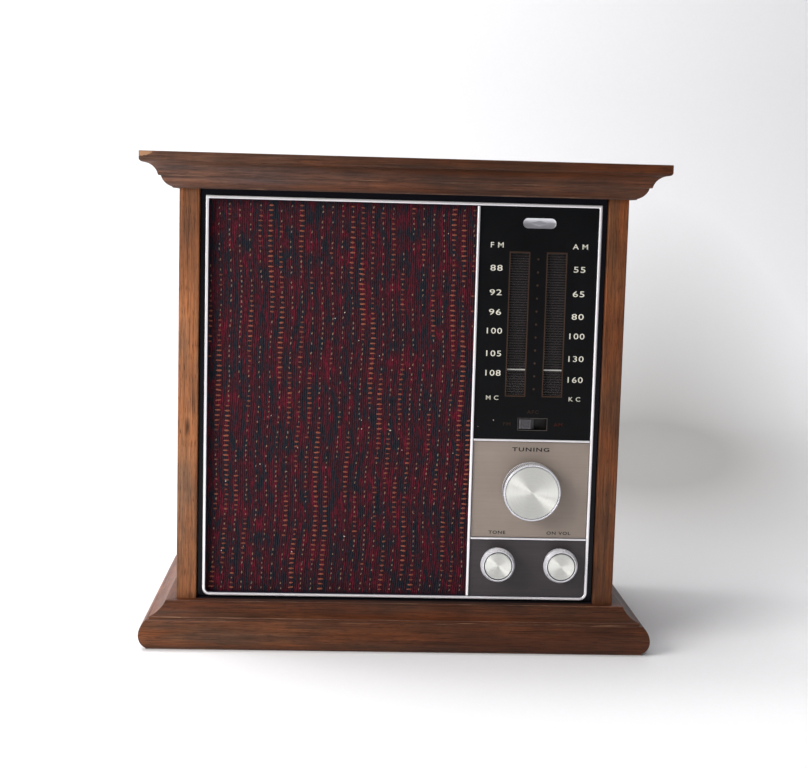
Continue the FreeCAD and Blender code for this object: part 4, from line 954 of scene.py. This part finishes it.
class RADIO_OT_panel_lettering(bpy.types.Operator):
    """Black lettering on the satin panel"""
    bl_idname = "table_radio.panel_lettering"
    bl_label = "Panel lettering"

    def execute(self, context):
        front = context.scene.radio_front
        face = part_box("tuning_panel")[0].y
        bm = bmesh.new()
        for words, x, z, height, stretch in (("TUNING", 84.8, 129.4, 2.6, 1.6),
                                             ("TONE", 64.7, 74.8, 2.1, 1.3),
                                             ("ON VOL", 104.8, 74.8, 2.1, 1.3)):
            lettered(bm, words, x * MM, z * MM, height * MM, face, front.mark_thickness,
                     stretch, 0.02)
        printed(bm, "panel_lettering", moulded("panel_ink", tuple(front.ink), 0.6, 0.3))
        return {"FINISHED"}


# ---------------------------------------------------------------- knobs

def spun_face(name, node, body, dish, line):
    """The turned metal disc in the front of a knob, with a dark line as wide as line round it."""
    low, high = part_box(node)
    centre = (low + high) / 2
    radius = (high.x - low.x) / 2 - line
    rings = int(radius / (0.55 * MM))
    outline = [(0.0, low.y + dish)]
    for index in range(1, rings):
        share_out = index / rings
        ripple = 0.008 * MM * (index % 2)
        outline.append((radius * share_out, low.y + dish * (1 - share_out ** 2) + ripple))
    outline += [(radius - 0.15 * MM, low.y), (radius, low.y + 0.15 * MM), (radius, high.y),
                (0.0, high.y)]
    bm = bmesh.new()
    turned(bm, outline, (centre.x, 0.0, centre.z), 96)
    closed(bm)
    seat = bmesh.new()
    step = 0.3 * MM
    turned(seat, [(radius - step, low.y + step), (radius + line, low.y + step),
                  (radius + line, high.y), (radius - step, high.y),
                  (radius - step, low.y + step)], (centre.x, 0.0, centre.z), 72)
    closed(seat)
    finished(seat, name + "_seat", moulded(name + "_shadow", shade(52, 50, 52), 0.6, 0.1), body,
             (), 40)
    tone = tuple(bpy.context.scene.radio_metal.spun)
    finished(bm, name, spun(name + "_metal", tone, centre), body, [node], 50)


class RADIO_OT_tuning_knob(bpy.types.Operator):
    """Large knob with a knurled bright skirt and a spun metal face"""
    bl_idname = "table_radio.tuning_knob"
    bl_label = "Tuning knob"

    def execute(self, context):
        metal = context.scene.radio_metal
        low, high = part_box("tuning_knob")
        centre = ((low.x + high.x) / 2, 0.0, (low.z + high.z) / 2)
        radius = (high.x - low.x) / 2
        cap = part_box("tuning_knob_cap")
        cap_radius = (cap[1].x - cap[0].x) / 2
        front, seat = low.y, cap[1].y
        rows = [front + 0.9 * MM, front + 1.3 * MM, high.y - 1.6 * MM, high.y - 1.2 * MM]
        outline = [(0.0, seat), (cap_radius + 0.15 * MM, seat),
                   (cap_radius + 0.15 * MM, front + 0.1 * MM), (cap_radius + 0.25 * MM, front),
                   (radius - 0.55 * MM, front), (radius - 0.42 * MM, front + 0.12 * MM),
                   (radius - 0.35 * MM, front + 0.5 * MM)]
        outline += [(radius, y) for y in rows]
        outline += [(radius - 0.4 * MM, high.y - 0.9 * MM), (radius - 0.4 * MM, high.y),
                    (0.0, high.y)]
        bm = bmesh.new()
        steps = metal.teeth * 2
        turned(bm, outline, centre, steps)
        closed(bm)
        roots = []
        for vert in bm.verts:
            if rows[0] < vert.co.y < rows[3] and rows[1] - 0.1 * MM < vert.co.y:
                angle = math.atan2(vert.co.z - centre[2], vert.co.x - centre[0])
                if round(angle / math.tau * steps) % 2:
                    roots.append(vert)
        depth = (radius - 0.42 * MM) / radius
        bmesh.ops.scale(bm, vec=(depth, 1.0, depth), verts=roots,
                        space=Matrix.Translation(-Vector(centre)))
        bright = plated("knob_plating", tuple(metal.bright), metal.polish * 1.6, 0.5)
        axis = bright.place(centre=centre, turn=(math.pi / 2, 0, 0))
        around = bright.node("TexGradient", {"Vector": axis}, gradient_type="RADIAL").outputs[1]
        teeth = bright.math("SINE", bright.math("MULTIPLY", around, metal.teeth * math.tau))
        facing = bright.node("NewGeometry").outputs["Normal"]
        front_on = bright.node("VectorMath", {0: facing, 1: (0, -1, 0)},
                               operation="DOT_PRODUCT").outputs["Value"]
        shine = tuple(metal.bright)
        # Painted shade in the knurl's roots: dark stripes round the skirt, while faces turned to
        # the front keep the plain plating.
        knurl_painted_shade = bright.ramp(teeth, (0.0, dimmed(shine, 0.25)), (0.4, shine))
        bright.paint(bright.mix(bright.ramp(front_on, (0.3, 0.0), (0.5, 1.0)), knurl_painted_shade, shine))
        finished(bm, "tuning_knob_knurled", bright, "tuning",
                 ["tuning_knob"], 28)
        spun_face("tuning_knob_face", "tuning_knob_cap", "tuning", 0.25 * MM, 0.1 * MM)
        return {"FINISHED"}


class RADIO_OT_small_knobs(bpy.types.Operator):
    """Tone and volume knobs with smooth tapered skirts and spun metal faces"""
    bl_idname = "table_radio.small_knobs"
    bl_label = "Small knobs"

    def execute(self, context):
        metal = context.scene.radio_metal
        bright = plated("small_knob_plating", dimmed(tuple(metal.bright), 1.15),
                        metal.polish * 1.6, 0.4)
        for body in ("tone", "volume"):
            node = body + "_knob"
            low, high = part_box(node)
            centre = ((low.x + high.x) / 2, 0.0, (low.z + high.z) / 2)
            radius = (high.x - low.x) / 2
            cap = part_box(node + "_cap")
            inner = (cap[1].x - cap[0].x) / 2
            front, back = low.y, high.y
            outline = [(0.0, cap[1].y), (inner + 0.06 * MM, cap[1].y),
                       (inner + 0.06 * MM, front + 0.12 * MM), (inner + 0.15 * MM, front),
                       (inner + 0.35 * MM, front), (inner + 0.6 * MM, front + 0.1 * MM),
                       (radius - 0.25 * MM, front + 2.6 * MM), (radius, front + 3.2 * MM),
                       (radius, front + 4.4 * MM), (radius - 1.5 * MM, back - 0.4 * MM),
                       (radius - 1.9 * MM, back), (0.0, back)]
            bm = bmesh.new()
            turned(bm, outline, centre, 112)
            closed(bm)
            finished(bm, node + "_turned", bright, body, [node], 30)
            spun_face(node + "_face", node + "_cap", body, 0.15 * MM, 0.6 * MM)
        return {"FINISHED"}


# ---------------------------------------------------------------- works inside

class RADIO_OT_drive(bpy.types.Operator):
    """Tuning drive: drum, pulley, cord with its spring, rail and capacitor"""
    bl_idname = "table_radio.drive"
    bl_label = "Tuning drive"

    def execute(self, context):
        dress(moulded("drum_cream", shade(214, 198, 160), 0.5), "dial_drum", "idler_pulley",
              "rod_brackets")
        cord = satin("braided_cord", shade(176, 166, 138), Z, 0.8, 0.0, 0.2)
        dress(cord, "dial_cord")
        steel = plated("shaft_steel", shade(196, 196, 200), 0.28)
        dress(steel, "pointer_rail", "tuning_shaft", "tone_shaft", "volume_shaft")
        dress(plated("bushing_brass", shade(206, 168, 92), 0.3), "tuning_bushing")
        dress(satin("capacitor_sheet", shade(182, 184, 186), Z, 0.35, 0.9), "capacitor_rotor",
              "capacitor_stator")
        dress(satin("plated_steel", shade(176, 174, 160), X, 0.38, 0.9), "capacitor_frame")
        centre = box_middle("dial_drum")
        bm = bmesh.new()
        start = Vector((centre.x - 4.6 * MM, centre.y, centre.z + 13.7 * MM))
        helix(bm, start, (1, 0, 0), 1.0 * MM, 0.2 * MM, 14, 0.66 * MM)
        closed(bm)
        finished(bm, "cord_spring", steel, "drum", (), 60)
        return {"FINISHED"}


class RADIO_OT_electronics(bpy.types.Operator):
    """Chassis, circuit board, its parts, transformer, lamp and aerial rod"""
    bl_idname = "table_radio.electronics"
    bl_label = "Electronics"

    def execute(self, context):
        dress(satin("chassis_steel", shade(168, 166, 154), X, 0.42, 0.9), "chassis_pan")
        dress(moulded("circuit_laminate", shade(150, 112, 62), 0.45), "circuit_board")
        dress(satin("can_aluminium", shade(198, 200, 204), Z, 0.34, 0.95), "if_cans",
              "electrolytic_cans", "control_pots")
        dress(moulded("transistor_case", shade(26, 26, 28), 0.4), "output_transistors")
        iron = satin("transformer_iron", shade(58, 56, 58), X, 0.55, 0.4)
        dress(iron, "power_transformer")
        dress(moulded("ferrite", shade(44, 43, 46), 0.55), "ferrite_rod", "speaker_magnet")
        lamp = Finish("lamp_glass", (0.96, 0.93, 0.86), 0.05,
                      values={"Transmission Weight": 0.8, "IOR": 1.45})
        lamp.bump(lamp.noise(0.003), 0.02, 0.3)
        dress(lamp, "dial_lamp")
        self.aerial_coils()
        self.transformer_tape()
        return {"FINISHED"}

    def aerial_coils(self):
        """Two windings of enamelled wire on paper sleeves round the ferrite rod."""
        low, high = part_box("ferrite_rod")
        radius = (high.z - low.z) / 2
        centre = (0.0, (low.y + high.y) / 2, (low.z + high.z) / 2)
        bm = bmesh.new()
        for start, turns in ((-64 * MM, 44), (-8 * MM, 16)):
            pitch = 0.6 * MM
            outline = [(radius + 0.08 * MM, start)]
            for index in range(turns):
                at = start + index * pitch
                outline += [(radius + 0.55 * MM, at + 0.15 * pitch),
                            (radius + 0.85 * MM, at + 0.5 * pitch),
                            (radius + 0.55 * MM, at + 0.85 * pitch)]
            outline += [(radius + 0.08 * MM, start + turns * pitch),
                        (radius + 0.08 * MM, start)]
            turned(bm, outline, centre, 24, X)
        closed(bm)
        finished(bm, "aerial_windings", plated("enamelled_copper", shade(176, 92, 50), 0.35),
                 "cabinet", (), 60)

    def transformer_tape(self):
        """Yellowed tape over the transformer's winding."""
        low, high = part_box("power_transformer")
        middle = (low + high) / 2
        tall = high.z - low.z
        half = (high.x - low.x) * 0.3
        bm = bmesh.new()
        for z in (low.z + tall * 0.32, low.z + tall * 0.58):
            block(bm, (middle.x - half - 0.25 * MM, low.y - 0.25 * MM, z),
                  (middle.x + half + 0.25 * MM, low.y + 5 * MM, z + tall * 0.12), 0.2 * MM)
            block(bm, (middle.x - half - 0.25 * MM, high.y - 5 * MM, z),
                  (middle.x + half + 0.25 * MM, high.y + 0.25 * MM, z + tall * 0.12), 0.2 * MM)
        closed(bm)
        finished(bm, "transformer_tape", fibrous("cambric_tape", shade(196, 170, 96),
                                                 shade(150, 124, 62), 0.5),
                 "cabinet", (), 40)


class RADIO_OT_speaker(bpy.types.Operator):
    """Loudspeaker basket and paper cone behind the cloth"""
    bl_idname = "table_radio.speaker"
    bl_label = "Loudspeaker"

    def execute(self, context):
        dress(satin("basket_steel", shade(150, 146, 130), X, 0.45, 0.85), "speaker_basket")
        dress(fibrous("cone_paper", shade(52, 46, 42), shade(34, 30, 28), 0.7),
              "speaker_cone")
        dress(fibrous("baffle_board", shade(96, 66, 44), shade(64, 42, 28), 0.9),
              "baffle_board")
        return {"FINISHED"}


class RADIO_OT_back(bpy.types.Operator):
    """Hardboard back with its slotted screws, terminals and mains socket"""
    bl_idname = "table_radio.back"
    bl_label = "Back"

    def execute(self, context):
        board = fibrous("hardboard", shade(118, 80, 52), shade(74, 48, 30), 0.9)
        refined("back_cover", board, 0.25, 1)
        refined("mains_inlet", moulded("socket_black", shade(20, 20, 22), 0.4), 0.3, 2)
        refined("antenna_terminals", moulded("terminal_phenolic", shade(92, 52, 26), 0.45),
                0.2, 2)
        zinc = plated("screw_zinc", shade(186, 186, 176), 0.32)
        dress(zinc, "wood_screws")
        self.screw_caps(zinc)
        self.terminal_nuts()
        self.socket_pins()
        return {"FINISHED"}

    def screw_caps(self, zinc):
        """Domed tops over the heads of the screws in the back, each with its slot."""
        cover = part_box("back_cover")[1].y
        heads = {}
        for vert in frame["nodes"]["wood_screws"].data.vertices:
            if vert.co.y > cover + 1.5 * MM:
                cell = (round(vert.co.x / (40 * MM)), round(vert.co.z / (40 * MM)))
                heads.setdefault(cell, []).append(vert.co)
        domes, slots = bmesh.new(), bmesh.new()
        for index, near in enumerate(heads.values()):
            x = (min(c.x for c in near) + max(c.x for c in near)) / 2
            z = (min(c.z for c in near) + max(c.z for c in near)) / 2
            tip = max(c.y for c in near)
            outline = [(0.0, tip + 0.5 * MM), (1.6 * MM, tip + 0.4 * MM),
                       (2.8 * MM, tip + 0.1 * MM), (3.45 * MM, tip - 0.5 * MM),
                       (0.0, tip - 0.5 * MM)]
            turned(domes, outline, (x, 0.0, z), 24)
            first = len(slots.verts)
            block(slots, (x - 2.9 * MM, tip, z - 0.4 * MM), (x + 2.9 * MM, tip + 0.53 * MM,
                                                             z + 0.4 * MM))
            slots.verts.ensure_lookup_table()
            bmesh.ops.rotate(slots, verts=slots.verts[first:], cent=(x, tip, z),
                             matrix=Matrix.Rotation(0.4 + index * 1.1, 3, "Y"))
        closed(domes)
        closed(slots)
        finished(domes, "back_screw_tops", zinc, "cabinet", (), 40)
        finished(slots, "back_screw_slots", moulded("slot_shadow", shade(40, 38, 36), 0.7, 0.1),
                 "cabinet", (), 0)

    def terminal_nuts(self):
        """Brass nuts on the aerial terminals."""
        low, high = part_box("antenna_terminals")
        wide = high.x - low.x
        bm = bmesh.new()
        for index in range(3):
            x = low.x + wide * (index + 0.5) / 3
            centre = (x, 0.0, (low.z + high.z) / 2)
            outline = [(0.0, high.y + 0.3 * MM), (2.2 * MM, high.y + 0.3 * MM),
                       (3.3 * MM, high.y), (4.2 * MM, high.y - 0.1 * MM),
                       (4.4 * MM, high.y - 0.4 * MM), (4.4 * MM, high.y - 1.3 * MM),
                       (0.0, high.y - 1.3 * MM)]
            turned(bm, outline, centre, 28)
        closed(bm)
        finished(bm, "terminal_nuts", plated("nut_brass", shade(200, 162, 84), 0.3),
                 "cabinet", (), 25)

    def socket_pins(self):
        """Bright sleeves on the two pins of the mains socket."""
        low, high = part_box("mains_inlet")
        middle = (low + high) / 2
        bm = bmesh.new()
        for side in (-1, 1):
            centre = (middle.x + side * 6.5 * MM, 0.0, middle.z)
            tip = low.y + 2.6 * MM + 8.5 * MM
            outline = [(0.0, tip + 0.4 * MM), (0.8 * MM, tip + 0.3 * MM),
                       (1.3 * MM, tip - 0.4 * MM), (1.3 * MM, low.y + 2.7 * MM),
                       (0.0, low.y + 2.7 * MM)]
            turned(bm, outline, centre, 24)
        closed(bm)
        finished(bm, "socket_pins", plated("pin_nickel", shade(206, 200, 184), 0.2),
                 "cabinet", (), 40)


# ---------------------------------------------------------------- stage

def area_light(name, power, size, place, target, tint, glossy=True):
    lamp = bpy.data.lights.new(name, "AREA")
    lamp.energy = power
    lamp.shape = "RECTANGLE"
    lamp.size, lamp.size_y = size
    lamp.color = tint
    light = bpy.data.objects.new(name, lamp)
    light.location = place
    aim = (Vector(target) - Vector(place)).to_track_quat("-Z", "Y")
    light.rotation_euler = aim.to_euler()
    light.visible_glossy = glossy
    bpy.context.scene.collection.objects.link(light)


class RADIO_OT_stage(bpy.types.Operator):
    """Pale floor swept up into a backdrop, soft lights and the camera"""
    bl_idname = "table_radio.stage"
    bl_label = "Stage"

    def execute(self, context):
        stage = context.scene.radio_stage
        self.floor(stage)
        self.room(stage)
        area_light("window_light", stage.window_power, (1.0, 0.9), (-1.28, -0.95, 0.85),
                   (0.0, -0.05, 0.13), (1.0, 0.985, 0.96))
        area_light("overhead_light", stage.overhead_power, (1.5, 1.2), (-0.35, 0.1, 1.6),
                   (-0.1, 0.1, 0.0), (1.0, 1.0, 1.0), False)
        area_light("backdrop_light", stage.overhead_power * 0.7, (1.2, 0.5), (-0.9, 0.3, 1.9),
                   (-0.5, 1.4, 0.7), (1.0, 1.0, 1.0))
        self.camera(context, stage)
        context.scene.view_settings.view_transform = "Standard"
        context.scene.view_settings.look = "None"
        return {"FINISHED"}

    def floor(self, stage):
        bm = bmesh.new()
        half, front, bend, rise = 2.6, -1.7, 0.95, 0.5
        verts = [bm.verts.new((x, front, 0.0)) for x in (-half, half)]
        edge = bm.edges.new(verts)

        def swept(edges, vec):
            made = bmesh.ops.extrude_edge_only(bm, edges=edges)["geom"]
            bmesh.ops.translate(bm, verts=[g for g in made if isinstance(g, bmesh.types.BMVert)],
                                vec=vec)
            return [g for g in made if isinstance(g, bmesh.types.BMEdge)
                    and abs(g.verts[0].co.x - g.verts[1].co.x) > half]

        far = swept([edge], (0, bend - front, 0))
        curve = bmesh.ops.spin(bm, geom=far + list(far[0].verts), cent=(0, bend, rise),
                               axis=(1, 0, 0), dvec=(0, 0, 0), angle=math.pi / 2, steps=20,
                               use_merge=False, use_duplicate=False)["geom_last"]
        last = [g for g in curve if isinstance(g, bmesh.types.BMEdge)]
        swept(last, (0, 0, 2.2))
        bmesh.ops.recalc_face_normals(bm, faces=bm.faces)
        mesh = bpy.data.meshes.new("floor")
        bm.to_mesh(mesh)
        bm.free()
        mesh.polygons.foreach_set("use_smooth", [True] * len(mesh.polygons))
        finish = Finish("pale_paper", tuple(stage.floor), 0.7,
                        values={"Specular IOR Level": 0.2})
        tooth = finish.noise(0.004, 3.0)
        paper = finish.ramp(tooth, (0.3, dimmed(tuple(stage.floor), 0.985)),
                            (0.7, tuple(stage.floor)))
        # Painted shadow of the radio on the backdrop, behind it and to the right.
        painted_radio_shadow = finish.ramp(finish.near((0.34, 0.74, 0.05), (0.32, 0.86, 0.45), (0, 0, -0.22)),
                           (0.0, 0.0), (0.7, 1.0))
        shadow = (0.42, 0.41, 0.39)
        finish.paint(finish.mix(painted_radio_shadow, paper, finish.mix(1.0, paper, shadow, "MULTIPLY")))
        mesh.materials.append(finish.material)
        floor = bpy.data.objects.new("floor", mesh)
        bpy.context.scene.collection.objects.link(floor)

    def room(self, stage):
        world = bpy.data.worlds.new("room")
        world.use_nodes = True
        tree = world.node_tree
        back = tree.nodes["Background"]
        where = tree.nodes.new("ShaderNodeTexCoord")
        dot = tree.nodes.new("ShaderNodeVectorMath")
        dot.operation = "DOT_PRODUCT"
        dot.inputs[1].default_value = (-0.55, 0.25, 0.8)
        ramp = tree.nodes.new("ShaderNodeValToRGB")
        ramp.color_ramp.elements[0].position = 0.0
        ramp.color_ramp.elements[0].color = (0.34, 0.34, 0.36, 1.0)
        ramp.color_ramp.elements[1].position = 0.85
        ramp.color_ramp.elements[1].color = (1.0, 1.0, 1.0, 1.0)
        tree.links.new(where.outputs["Generated"], dot.inputs[0])
        tree.links.new(dot.outputs["Value"], ramp.inputs["Fac"])
        tree.links.new(ramp.outputs["Color"], back.inputs["Color"])
        back.inputs["Strength"].default_value = stage.room
        bpy.context.scene.world = world

    def camera(self, context, stage):
        """A level-headed view from just left of the middle, a little above the radio."""
        yaw, pitch, roll = 0.0430, 0.1165, 0.0264
        ahead = Vector((math.sin(yaw) * math.cos(pitch), math.cos(yaw) * math.cos(pitch),
                        -math.sin(pitch)))
        level = Vector((math.cos(yaw), -math.sin(yaw), 0.0))
        upright = level.cross(ahead)
        right = math.cos(roll) * level + math.sin(roll) * upright
        above = math.cos(roll) * upright - math.sin(roll) * level
        lens = bpy.data.cameras.new("camera")
        lens.lens = stage.lens
        lens.sensor_width = 36.0
        lens.clip_start = 0.05
        lens.clip_end = 20.0
        camera = bpy.data.objects.new("camera", lens)
        turn = Matrix((right, above, -ahead)).transposed().to_4x4()
        camera.matrix_world = Matrix.Translation((-0.03715, -0.97824, 0.27665)) @ turn
        context.scene.collection.objects.link(camera)
        context.scene.camera = camera


# ---------------------------------------------------------------- panel and run

PIECES = (RADIO_OT_cabinet, RADIO_OT_front, RADIO_OT_cloth, RADIO_OT_dust, RADIO_OT_dial,
          RADIO_OT_band_switch, RADIO_OT_panel_lettering, RADIO_OT_tuning_knob,
          RADIO_OT_small_knobs, RADIO_OT_drive, RADIO_OT_electronics, RADIO_OT_speaker,
          RADIO_OT_back, RADIO_OT_stage)
GROUPS = (("radio_wood", WoodSettings), ("radio_cloth", ClothSettings),
          ("radio_front", FrontSettings), ("radio_metal", MetalSettings),
          ("radio_stage", StageSettings))


class RADIO_PT_panel(bpy.types.Panel):
    """Settings and pieces of the table radio"""
    bl_idname = "RADIO_PT_panel"
    bl_label = "Table Radio"
    bl_space_type = "VIEW_3D"
    bl_region_type = "UI"
    bl_category = "Table Radio"

    def draw(self, context):
        for name, group in GROUPS:
            settings = getattr(context.scene, name)
            column = self.layout.column(align=True)
            for key in group.__annotations__:
                column.prop(settings, key)
        column = self.layout.column(align=True)
        for piece in PIECES:
            column.operator(piece.bl_idname)


def register():
    for kind in [group for _, group in GROUPS] + list(PIECES) + [RADIO_PT_panel]:
        bpy.utils.register_class(kind)
    for name, group in GROUPS:
        setattr(bpy.types.Scene, name, PointerProperty(type=group))


def unregister():
    for name, _ in GROUPS:
        delattr(bpy.types.Scene, name)
    for kind in [RADIO_PT_panel] + list(PIECES)[::-1] + [group for _, group in GROUPS]:
        bpy.utils.unregister_class(kind)


def main():
    register()
    for piece in PIECES:
        group, name = piece.bl_idname.split(".")
        getattr(getattr(bpy.ops, group), name)()


if __name__ == "__main__":
    main()
